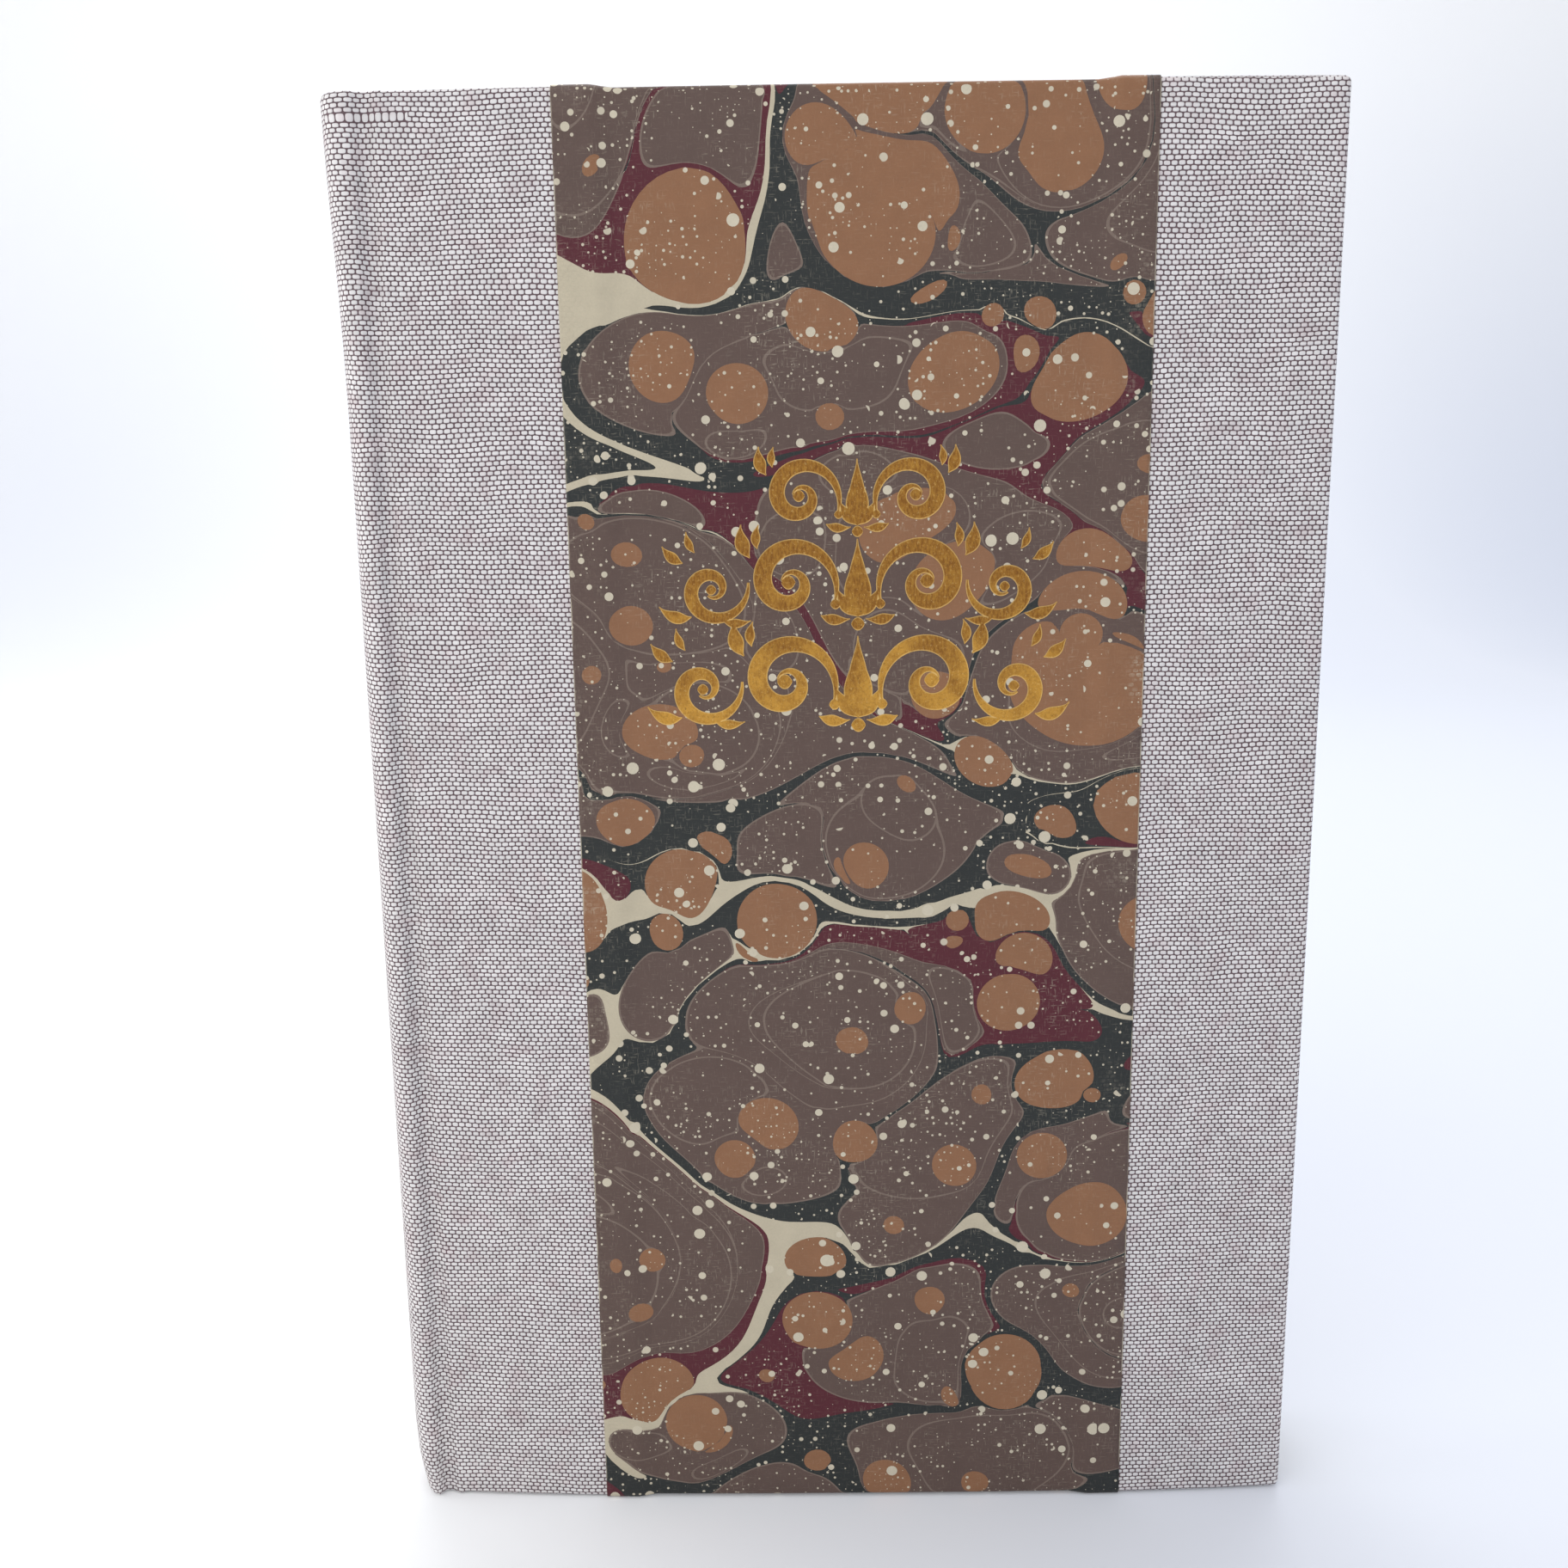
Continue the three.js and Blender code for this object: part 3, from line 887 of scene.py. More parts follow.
@dataclass
class CasePlan:
    """The case's levels and its outline from above, taken from the frame's own boxes.

    Attributes:
        cloth: Thickness of the cloth.
        paper: Thickness of the marbled paper.
        glue: Gap between layers.
        edge_radius: Rounding of a board's edge.
        bow: How far a board arches outwards.
        bow_power: How flat the arch is in its middle.
        corner: Reach of the rounding between the spine and the ridge.
        ridge: Height of the ridge above the cloth on the board.
        ridge_to_groove: Distance from the ridge to the groove.
        groove_to_board: Distance from the groove to the board.
        groove_depth: Depth of the groove below the cloth on the board.
        inlay: Thickness of the spine's card.
        turn_in: Length of cloth or paper folded to the inside.
        head_flare: How far the spine's cloth bends out at the head.
        flare_reach: Height over which it does.
        tail_tuck: How far it bends in at the tail.
        tuck_reach: Height over which it does.
    """

    cloth: float = 0.45 * MM
    paper: float = 0.2 * MM
    glue: float = 0.05 * MM
    edge_radius: float = 0.5 * MM
    bow: float = 1.8 * MM
    bow_power: float = 3.0
    corner: float = 3.1 * MM
    ridge: float = 0.6 * MM
    ridge_to_groove: float = 2.2 * MM
    groove_to_board: float = 2.4 * MM
    groove_depth: float = 0.8 * MM
    inlay: float = 0.8 * MM
    turn_in: float = 15 * MM
    head_flare: float = 1.1 * MM
    flare_reach: float = 60 * MM
    tail_tuck: float = 1.5 * MM
    tuck_reach: float = 12 * MM

    def __post_init__(self) -> None:
        """Works out the derived levels and places."""
        board_low, board_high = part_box("front_board")
        self.board_start, self.board_end = board_low[0], board_high[0]
        self.board_bottom, self.board_top = board_low[2], board_high[2]
        self.board_inner = -board_high[1]
        self.board_outer = -board_low[1] - self.bow
        spine_low, spine_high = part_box("spine_cloth")
        self.spine_x = spine_low[0]
        self.cloth_low, self.cloth_high = spine_low[2], spine_high[2]
        self.tall = self.cloth_low + self.cloth_high
        self.cloth_level = self.board_outer + self.glue + self.cloth
        self.ridge_level = self.cloth_level + self.ridge
        self.corner_level = self.ridge_level - self.corner
        self.slope_end = self.board_start - self.edge_radius
        self.groove_x = self.slope_end - self.groove_to_board
        self.ridge_x = self.groove_x - self.ridge_to_groove
        self.corner_x = self.ridge_x - self.corner

    @property
    def board(self) -> float:
        """Thickness of a board."""
        return self.board_outer - self.board_inner

    def bow_at(self, x: float) -> float:
        """Works out the board's arch.

        Args:
            x: Place across the cover.

        Returns:
            How far the board stands out there.
        """
        share = min(max((x - self.board_start) / (self.board_end - self.board_start), 0.0), 1.0)
        return self.bow * (1 - abs(2 * share - 1) ** self.bow_power)

    def bezier(self, points: Sequence[Pair], count: int) -> list[PlanPoint]:
        """Samples a cubic curve.

        Args:
            points: Its four control points.
            count: Number of steps.

        Returns:
            The points, with the inward direction at each.
        """
        flat = [Vector((p[0], p[1], 0)) for p in points]
        line = interpolate_bezier(*flat, count + 1)
        made = []
        for i, point in enumerate(line):
            way = (line[min(i + 1, count)] - line[max(i - 1, 0)]).normalized()
            made.append(PlanPoint(point.x, point.y, (way.y, -way.x)))
        return made

    def spine_half(self) -> list[PlanPoint]:
        """Draws the outer face of the cloth from the middle of the spine to the groove's far side.

        Returns:
            The points of the face.
        """
        lift = self.corner_level
        rise = self.corner_x - self.spine_x
        pull = self.corner * 0.55
        way = Vector((2 * rise, lift)).normalized() * pull
        groove = self.cloth_level - self.groove_depth
        down = (self.ridge_x + self.groove_x) / 2
        up = (self.groove_x + self.slope_end) / 2
        parts = [
            self.bezier(
                [(self.spine_x, 0), (self.spine_x, lift / 3),
                 (self.spine_x + rise / 3, lift * 2 / 3), (self.corner_x, lift)], 10),
            self.bezier(
                [(self.corner_x, lift), (self.corner_x + way.x, lift + way.y),
                 (self.ridge_x - pull, self.ridge_level), (self.ridge_x, self.ridge_level)], 10),
            self.bezier(
                [(self.ridge_x, self.ridge_level), (down, self.ridge_level),
                 (down, groove), (self.groove_x, groove)], 10),
            self.bezier(
                [(self.groove_x, groove), (up, groove),
                 (up, self.cloth_level), (self.slope_end, self.cloth_level)], 8),
        ]
        return parts[0] + [p for part in parts[1:] for p in part[1:]]

    def face(self, start: float, end: float, step: float = 3 * MM) -> list[PlanPoint]:
        """Draws the outer face of the cloth over the board.

        Args:
            start: Where it starts.
            end: Where it ends.
            step: Distance between points.

        Returns:
            The points of the face.
        """
        count = max(1, round((end - start) / step))
        places = [start + (end - start) * i / count for i in range(count + 1)]
        return [PlanPoint(x, self.cloth_level + self.bow_at(x), (0.0, -1.0)) for x in places]

    def worn(self, x: float, z: float) -> float:
        """Works out how far wear has moved the spine's cloth.

        Args:
            x: Place across the cover.
            z: Height.

        Returns:
            The distance towards the fore edge.
        """
        near = 1 - smooth((x - self.corner_x) / (self.groove_x - self.corner_x))
        flare = smooth(1 - (self.tall - z) / self.flare_reach) ** 2
        tuck = max(0.0, 1 - z / self.tuck_reach) ** 2
        return near * (self.tail_tuck * tuck - self.head_flare * flare)


def set_runs(points: list[PlanPoint]) -> list[PlanPoint]:
    """Fills in each point's length along the cloth.

    Args:
        points: The points of the face, from the middle of the spine.

    Returns:
        The same points.
    """
    for before, point in zip(points, points[1:]):
        point.run = before.run + math.hypot(point.x - before.x, point.level - before.level)
    return points


def fold_outline(plan: CasePlan, core: float, low: float, rows: int) -> list[Triple]:
    """The section of cloth turned over at head and tail.

    Args:
        plan: The case's plan.
        core: Thickness of what the cloth holds.
        low: Height of the cloth's lower edge.
        rows: Steps up the outer face.

    Returns:
        Depth from the outer face, height, and length along the cloth, around the whole section.
    """
    high = plan.tall - low
    inner = min(plan.edge_radius + plan.glue, core * 0.45)
    outer = inner + plan.cloth
    depth = 2 * plan.cloth + core
    turns = [i / 4 * math.pi / 2 for i in range(5)]

    def bend(n: float, z: float, radius: float, start: float, back: bool) -> list[Pair]:
        """Draws a quarter turn.

        Args:
            n: Depth of its middle.
            z: Height of its middle.
            radius: Its radius.
            start: Direction in which it starts.
            back: Whether it is drawn from its end.

        Returns:
            The points.
        """
        angles = reversed(turns) if back else turns
        return [(n + radius * math.cos(start + a), z + radius * math.sin(start + a)) for a in angles]

    half = math.pi / 2
    outside = (
        [(depth, low + plan.turn_in)]
        + bend(depth - outer, low + outer, outer, 3 * half, True)
        + bend(outer, low + outer, outer, 2 * half, True)
        + [(0.0, low + outer + (high - low - 2 * outer) * i / rows) for i in range(1, rows)]
        + bend(outer, high - outer, outer, half, True)
        + bend(depth - outer, high - outer, outer, 0.0, True)
        + [(depth, high - plan.turn_in)]
    )
    inside = (
        [(depth - plan.cloth, high - plan.turn_in)]
        + bend(depth - outer, high - outer, inner, 0.0, False)
        + bend(outer, high - outer, inner, half, False)
        + [(plan.cloth, high - outer - (high - low - 2 * outer) * i / rows) for i in range(1, rows)]
        + bend(outer, low + outer, inner, 2 * half, False)
        + bend(depth - outer, low + outer, inner, 3 * half, False)
        + [(depth - plan.cloth, low + plan.turn_in)]
    )
    made = []
    for way, sign in ((outside, 1), (inside, -1)):
        steps = [math.dist(before, after) for before, after in zip([way[0]] + way, way)]
        runs = np.cumsum(steps)
        middle = len(way) // 2
        made += [(n, z, way[middle][1] + sign * (run - runs[middle])) for (n, z), run in zip(way, runs)]
    return made


def to_object(bm: bmesh.types.BMesh, name: str, materials: Sequence[Material]) -> Piece:
    """Makes a bmesh an object in the scene.

    Args:
        bm: The mesh, which is freed.
        name: The piece's name.
        materials: Its materials, in slot order.

    Returns:
        The object, smooth all over.
    """
    mesh = bpy.data.meshes.new(name)
    bm.to_mesh(mesh)
    bm.free()
    for material in materials:
        mesh.materials.append(material)
    mesh.shade_smooth()
    obj = bpy.data.objects.new(name, mesh)
    bpy.context.scene.collection.objects.link(obj)
    return obj


@dataclass
class QuarterCloth:
    """One half of the spine's cloth: half the back, the ridge, the groove and the board's strip.

    Attributes:
        plan: The case's plan.
        side: The cover that it covers.
        rows: Steps up the outer face.
    """

    plan: CasePlan
    side: Side
    rows: int = 40

    def section(self, point: PlanPoint) -> list[Triple]:
        """Draws the fold where the cloth passes over the inlay, the groove or the board.

        Args:
            point: Place on the outline from above.

        Returns:
            The section, as fold_outline gives it.
        """
        plan = self.plan
        if point.x <= plan.ridge_x:
            core = plan.inlay + 2 * plan.glue
        elif point.x <= plan.slope_end:
            core = plan.glue
        else:
            core = plan.board + 2 * plan.glue
        return fold_outline(plan, core, plan.cloth_low, self.rows)

    def build(self, end: float, material: Material) -> Piece:
        """Builds the half.

        Args:
            end: Where the cloth ends under the marbled paper.
            material: The book cloth.

        Returns:
            The piece.
        """
        plan, sign = self.plan, self.side.value
        path = set_runs(plan.spine_half() + plan.face(plan.board_start - 0.03 * MM, end))
        sections = [self.section(p) for p in path]
        bm = bmesh.new()
        layer = bm.loops.layers.uv.new(UV_NAME)
        where = {}

        def place(vert: bmesh.types.BMVert, column: int, row: int) -> None:
            """Puts a vertex in its place.

            Args:
                vert: The vertex.
                column: Number of its section.
                row: Its number on the section.
            """
            point, (n, z, run) = path[column], sections[column][row]
            x = point.x + n * point.inward[0]
            level = point.level + n * point.inward[1]
            vert.co = (x + plan.worn(x, z), sign * level, z)
            where[vert] = (sign * point.run, run)

        first = [bm.verts.new() for _ in path]
        for i, vert in enumerate(first):
            place(vert, i, 0)
        chain = [bm.edges.new(pair) for pair in zip(first, first[1:])]
        start_chain, line = chain, first
        for row in range(1, len(sections[0])):
            made = bmesh.ops.extrude_edge_only(bm, edges=chain)["geom"]
            above = {}
            for vert in (g for g in made if isinstance(g, bmesh.types.BMVert)):
                for edge in vert.link_edges:
                    other = edge.other_vert(vert)
                    if other in where:
                        above[other] = vert
            line = [above[vert] for vert in line]
            for i, vert in enumerate(line):
                place(vert, i, row)
            chain = [bm.edges.get(pair) for pair in zip(line, line[1:])]
        bmesh.ops.bridge_loops(bm, edges=start_chain + chain)
        open_edges = [e for e in bm.edges if e.is_boundary]
        bmesh.ops.triangulate(bm, faces=bmesh.ops.holes_fill(bm, edges=open_edges, sides=0)["faces"])
        bmesh.ops.recalc_face_normals(bm, faces=bm.faces)
        for face in bm.faces:
            for loop in face.loops:
                loop[layer].uv = where[loop.vert]
        piece = to_object(bm, self.side.node("quarter_cloth"), [material])
        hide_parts(self.side.node("spine_side_cloth"), "spine_cloth")
        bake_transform(piece)
        return piece


@dataclass
class SpineInlay:
    """The card inside the spine's cloth, bent with it at head and tail.

    Attributes:
        plan: The case's plan.
        rows: Steps up the card.
        node: The card's node.
    """

    plan: CasePlan
    rows: int = 48
    node: str = "spine_inlay"

    def build(self, material: Material) -> Piece:
        """Builds the card as a bent sheet.

        Args:
            material: The card's finish.

        Returns:
            The piece.
        """
        plan = self.plan
        low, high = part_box(self.node)
        depth = plan.cloth + plan.glue + plan.inlay / 2
        half = [
            p for p in plan.spine_half()
            if p.level + depth * p.inward[1] < high[1] and p.x < plan.ridge_x
        ]
        path = [(p, -1) for p in half[:0:-1]] + [(p, 1) for p in half]
        bm = bmesh.new()
        bmesh.ops.create_grid(bm, x_segments=len(path) - 1, y_segments=self.rows, size=1.0)
        for vert in bm.verts:
            point, sign = path[round((vert.co.x + 1) / 2 * (len(path) - 1))]
            z = low[2] + (high[2] - low[2]) * (vert.co.y + 1) / 2
            x = point.x + depth * point.inward[0] + plan.worn(point.x, z)
            vert.co = (x, sign * (point.level + depth * point.inward[1]), z)
        piece = to_object(bm, "bent_spine_inlay", [material])
        wall = piece.modifiers.new("Wall", "SOLIDIFY")
        wall.thickness, wall.offset = plan.inlay, 0.0
        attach(piece, "text_block")
        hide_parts(self.node)
        return piece


@dataclass
class ForeEdgeCloth:
    """The strip of cloth that wraps the fore edge of a board.

    Attributes:
        plan: The case's plan.
        side: The cover that it belongs to.
        bevel_steps: Steps round an edge.
        cut_step: Distance between cuts across the strip, so that it can follow the arch.
        rows: Steps up the strip.
    """

    plan: CasePlan
    side: Side
    bevel_steps: int = 4
    cut_step: float = 3 * MM
    rows: int = 12

    def build(self, material: Material) -> Piece:
        """Builds the strip from a block the size of the board's end, opened on two sides.

        Args:
            material: The book cloth.

        Returns:
            The piece.
        """
        plan, sign = self.plan, self.side.value
        node = self.side.node("fore_edge_cloth")
        start, end = (corner[0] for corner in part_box(node))
        grow = plan.glue + plan.cloth
        inner, outer = plan.board_inner - grow, plan.board_outer + grow
        bottom, top = plan.cloth_low, plan.cloth_high
        bm = bmesh.new()
        bmesh.ops.create_cube(bm, size=1.0)
        size = Vector((end - start, outer - inner, top - bottom))
        middle = Vector(((start + end) / 2, sign * (inner + outer) / 2, (bottom + top) / 2))
        bmesh.ops.scale(bm, verts=bm.verts, vec=size)
        bmesh.ops.translate(bm, verts=bm.verts, vec=middle)
        bmesh.ops.delete(bm, geom=[f for f in bm.faces if f.normal.x < -0.5], context="FACES_ONLY")
        sharp = [e for e in bm.edges if not e.is_boundary]
        bmesh.ops.bevel(
            bm, geom=sharp, offset=plan.edge_radius + grow, offset_type="OFFSET",
            segments=self.bevel_steps, profile=0.5, affect="EDGES", material=-1,
        )
        across, up = 0, 2
        count = int((end - start) / self.cut_step)
        cuts = [(start + self.cut_step * i, across) for i in range(1, count + 1)]
        cuts += [(end - plan.turn_in, across), (bottom + plan.turn_in, up), (top - plan.turn_in, up)]
        cuts += [(bottom + (top - bottom) * i / self.rows, up) for i in range(1, self.rows)]
        for place, axis in cuts:
            normal = Vector([float(i == axis) for i in range(3)])
            geom = list(bm.verts) + list(bm.edges) + list(bm.faces)
            bmesh.ops.bisect_plane(bm, geom=geom, plane_co=normal * place, plane_no=normal)
        window = [
            f for f in bm.faces
            if f.normal.y * sign < -0.99
            and f.calc_center_median().x < end - plan.turn_in
            and bottom + plan.turn_in < f.calc_center_median().z < top - plan.turn_in
        ]
        bmesh.ops.delete(bm, geom=window, context="FACES")
        self.unroll(bm, end, outer)
        for vert in bm.verts:
            vert.co.y += sign * plan.bow_at(vert.co.x)
        bmesh.ops.recalc_face_normals(bm, faces=bm.faces)
        piece = to_object(bm, self.side.node("fore_edge_strip"), [material])
        wall = piece.modifiers.new("Wall", "SOLIDIFY")
        wall.thickness, wall.offset, wall.use_even_offset = plan.cloth, -1.0, True
        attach(piece, self.side.body)
        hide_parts(node)
        return piece

    def unroll(self, bm: bmesh.types.BMesh, end: float, outer: float) -> None:
        """Gives each face its place on the flat cloth, unrolled round the nearest edge.

        Args:
            bm: The strip's mesh.
            end: Place of its fore edge.
            outer: Level of its outer face.
        """
        layer = bm.loops.layers.uv.new(UV_NAME)
        sign = self.side.value
        for face in bm.faces:
            normal = face.normal
            for loop in face.loops:
                x, y, z = loop.vert.co
                back = outer - sign * y
                if abs(normal.x) > max(abs(normal.y), abs(normal.z)):
                    flat = (end + back, z)
                elif abs(normal.z) > abs(normal.y):
                    flat = (x, z + math.copysign(back, normal.z))
                elif normal.y * sign < 0:
                    flat = (2 * end - x + back, z)
                else:
                    flat = (x, z)
                loop[layer].uv = (sign * flat[0], flat[1])


@dataclass
class Bath:
    """A bath of size on which drops of ink are thrown, each pushing the earlier ones aside.

    Attributes:
        width: Width of the sheet of paper, in millimetres.
        height: Height of the sheet.
        seed: Start of the random draws.
        margin: How far past the sheet drops are thrown.
        spacing: Distance between points on an outline.
        rest: Number of drops between two settlings.
        inks: The ink of each drop, in the order in which they fell.
    """

    width: float
    height: float
    seed: int
    margin: float = 18.0
    spacing: float = 0.75
    rest: int = 4
    inks: list[Ink] = field(default_factory=list)

    def __post_init__(self) -> None:
        """Starts the random draws and empties the bath."""
        self.luck = random.Random(self.seed)
        self.points = np.empty((0, 2))
        self.owner = np.empty(0, int)

    def spot(self) -> np.ndarray:
        """Draws a random place on the bath.

        Returns:
            The place.
        """
        return np.array([
            self.luck.uniform(-self.margin, self.width + self.margin),
            self.luck.uniform(-self.margin, self.height + self.margin),
        ])

    def drop(self, centre: np.ndarray, radius: float, ink: Ink, reach: float = 0.0) -> None:
        """Lets one drop fall.

        Args:
            centre: Where it falls.
            radius: How far it spreads.
            ink: Its ink.
            reach: How far a later drop will stretch it.
        """
        away = self.points - centre
        far = np.maximum((away ** 2).sum(1), 1e-9)
        moved = centre + away * np.sqrt(1 + radius * radius / far)[:, None]
        count = max(14, int(2 * math.pi * max(radius, reach) / self.spacing))
        turn = np.linspace(0, 2 * math.pi, count, endpoint=False) + self.luck.random()
        circle = centre + np.stack([np.cos(turn), np.sin(turn)], 1) * radius
        self.points = np.concatenate([moved, circle])
        self.owner = np.concatenate([self.owner, np.full(count, len(self.inks))])
        self.inks.append(ink)

    def settle(self, near: float = 12.0) -> None:
        """Adds points to the outlines where they have stretched on the sheet.

        Args:
            near: How far past the sheet this is done.
        """
        last = np.nonzero(np.diff(self.owner, append=-1))[0]
        first = np.concatenate([[0], last[:-1] + 1])
        after = np.arange(len(self.points)) + 1
        after[last] = first
        gaps = self.points[after] - self.points
        past = np.maximum(-self.points, self.points - (self.width, self.height)).max(1)
        cut = np.nonzero((np.hypot(*gaps.T) > self.spacing * 1.6) & (past < near))[0]
        self.points = np.insert(self.points, cut + 1, self.points[cut] + gaps[cut] / 2, axis=0)
        self.owner = np.insert(self.owner, cut + 1, self.owner[cut])

    def throw(self, ink: Ink, cover: float, radii: Pair, skew: float, rim: float = 0.0) -> None:
        """Throws an ink until its drops come to a share of the bath.

        Args:
            ink: The ink.
            cover: Area of the drops as a share of the bath's.
            radii: Least and greatest spread of a drop.
            skew: Above 1, most drops are small.
            rim: Width of the paler edge round a drop.
        """
        left = cover * (self.width + 2 * self.margin) * (self.height + 2 * self.margin)
        count = 0
        while left > 0:
            radius = radii[0] + (radii[1] - radii[0]) * self.luck.random() ** skew
            centre = self.spot()
            if rim:
                self.drop(centre, math.sqrt(2 * radius * rim), Ink.RIM, radius)
            self.drop(centre, radius, ink)
            left -= math.pi * radius * radius
            count += 1
            if count % self.rest == 0:
                self.settle()
        self.settle()

    def outlines(self) -> list[np.ndarray]:
        """Returns each drop's outline, in the order in which the drops fell."""
        starts = np.nonzero(np.diff(self.owner))[0] + 1
        return [self.thin(part) for part in np.split(self.points, starts)]

    def thin(self, outline: np.ndarray, slack: float = 0.015, longest: float = 3.0) -> np.ndarray:
        """Drops the points of an outline that its neighbours already give.

        Args:
            outline: The outline.
            slack: How far a dropped point may lie from the line.
            longest: Longest line that may take a point's place.

        Returns:
            The outline with fewer points.
        """
        for _ in range(2):
            before, after = np.roll(outline, 1, 0), np.roll(outline, -1, 0)
            chord = after - before
            length = np.maximum(np.hypot(*chord.T), 1e-9)
            offset = outline - before
            away = np.abs(chord[:, 0] * offset[:, 1] - chord[:, 1] * offset[:, 0]) / length
            spare = (away < slack) & (length < longest)
            spare[::2] = False
            if len(outline) - spare.sum() < 10:
                break
            outline = outline[~spare]
        return outline


@dataclass
class MarbledPanel:
    """The marbled paper between the cloth strips, lapped over both and turned in.

    Attributes:
        plan: The case's plan.
        side: The cover that it belongs to.
        seed: Start of the random draws of its pattern.
        overlap: How far it is lapped over a strip.
        step_run: Width of the step down from the cloth to the board.
        fold_steps: Steps round a fold.
        columns: Steps across the sheet.
    """

    plan: CasePlan
    side: Side
    seed: int
    overlap: float = 5 * MM
    step_run: float = 3.6 * MM
    fold_steps: int = 3
    columns: int = 16

    def __post_init__(self) -> None:
        """Reads the panel's place from the frame."""
        low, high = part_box(self.side.node("marbled_panel"))
        self.start, self.end = low[0], high[0]
        self.width = self.end - self.start
        self.height = high[2] - low[2]

    def offset(self, x: float) -> float:
        """Works out how far the paper stands off the board, which is more where it lies on cloth.

        Args:
            x: Place across the cover.

        Returns:
            The distance.
        """
        plan = self.plan
        on_cloth = 2 * plan.glue + plan.cloth
        inside = min(x - self.start, self.end - x) - self.overlap
        return on_cloth + (plan.glue - on_cloth) * smooth(inside / self.step_run)

    def point(self, u: float, v: float, lift: float = 0.0) -> Triple:
        """Places a point of the flat sheet on the folded panel.

        Args:
            u: Distance from the panel's spine-side edge.
            v: Height on the front, carried on over the head and past the tail.
            lift: Extra distance out of the face.

        Returns:
            The point in the frame.
        """
        plan = self.plan
        x = self.start + u
        off = self.offset(x) + plan.paper
        radius = plan.edge_radius + off
        half = plan.board / 2 + off
        middle = (plan.board_inner + plan.board_outer) / 2 + plan.bow_at(x)
        top = plan.board_top + off
        bottom = plan.board_bottom - off
        tall = self.height / 2
        up = v - tall
        over = abs(up) - (tall - self.bend)
        arc = self.bend * math.pi / 2
        flat = 2 * (self.deepest - self.bend)
        edge = top if up > 0 else bottom
        inward = -1.0 if up > 0 else 1.0
        if over <= 0:
            share = abs(up) / (tall - self.bend)
            mid = (top + bottom) / 2
            reach = (top - bottom) / 2 - radius
            n, z = 0.0, mid + math.copysign(share * reach, up)
        elif over <= arc:
            angle = over / self.bend
            n = radius * (1 - math.cos(angle))
            z = edge + inward * radius * (1 - math.sin(angle))
        elif over <= arc + flat:
            n = radius + (over - arc) / flat * 2 * (half - radius)
            z = edge
        elif over <= 2 * arc + flat:
            angle = (over - arc - flat) / self.bend
            n = 2 * half - radius * (1 - math.sin(angle))
            z = edge + inward * radius * (1 - math.cos(angle))
        else:
            n = 2 * half
            z = edge + inward * (radius + over - 2 * arc - flat)
        return x, self.side.value * (middle + half - n + lift), z

    @property
    def deepest(self) -> float:
        """Half the panel's thickness where it lies over cloth."""
        return self.plan.board / 2 + self.offset(self.start) + self.plan.paper

    @property
    def bend(self) -> float:
        """Radius of the fold where the panel lies over cloth."""
        return self.plan.edge_radius + self.offset(self.start) + self.plan.paper

    def folds(self) -> list[float]:
        """Lists the heights on the flat sheet at which it ends or bends.

        Returns:
            The heights, from the tail's turn-in to the head's.
        """
        tall = self.height / 2
        arc = self.bend * math.pi / 2
        flat = 2 * (self.deepest - self.bend)
        first = [arc * i / self.fold_steps for i in range(self.fold_steps + 1)]
        second = [arc + flat + s for s in first]
        past = first + second + [2 * arc + flat + self.plan.turn_in - self.bend]
        ups = [tall - self.bend + over for over in past]
        return sorted([tall - up for up in ups] + [tall + up for up in ups])

    def marble(self) -> Bath:
        """Throws the inks in their order.

        Returns:
            The bath, ready for the sheet.
        """
        folds = self.folds()
        bath = Bath(self.width / MM, (folds[-1] - folds[0]) / MM, self.seed)
        bath.throw(Ink.BLACK, 2.3, (6.0, 17.5), 1.0)
        bath.throw(Ink.MAROON, 0.34, (3.0, 8.5), 1.1)
        bath.throw(Ink.BROWN, 0.95, (2.2, 11.0), 1.1, rim=0.28)
        bath.throw(Ink.TAN, 0.26, (0.9, 6.6), 1.1)
        bath.throw(Ink.DOT, 0.02, (0.3, 0.95), 1.6)
        return bath

    def build(self, materials: Sequence[Material]) -> Piece:
        """Cuts the sheet from the bath and folds it over the board.

        Args:
            materials: The inks, in the order of their slots.

        Returns:
            The piece.
        """
        bath = self.marble()
        folds = [v / MM for v in self.folds()]
        wide, base = self.width / MM, folds[0]
        over, run = self.overlap / MM, self.step_run / MM
        columns = sorted(
            [wide * i / self.columns for i in range(1, self.columns)]
            + [over, over + run / 2, over + run, wide - over, wide - over - run / 2, wide - over - run]
        )
        points, edges, faces = [], [], []

        def add(outline: Iterable[Sequence[float]]) -> list[int]:
            """Adds points.

            Args:
                outline: The points.

            Returns:
                Their numbers.
            """
            start = len(points)
            points.extend(Vector((float(p[0]), float(p[1]))) for p in outline)
            return list(range(start, len(points)))

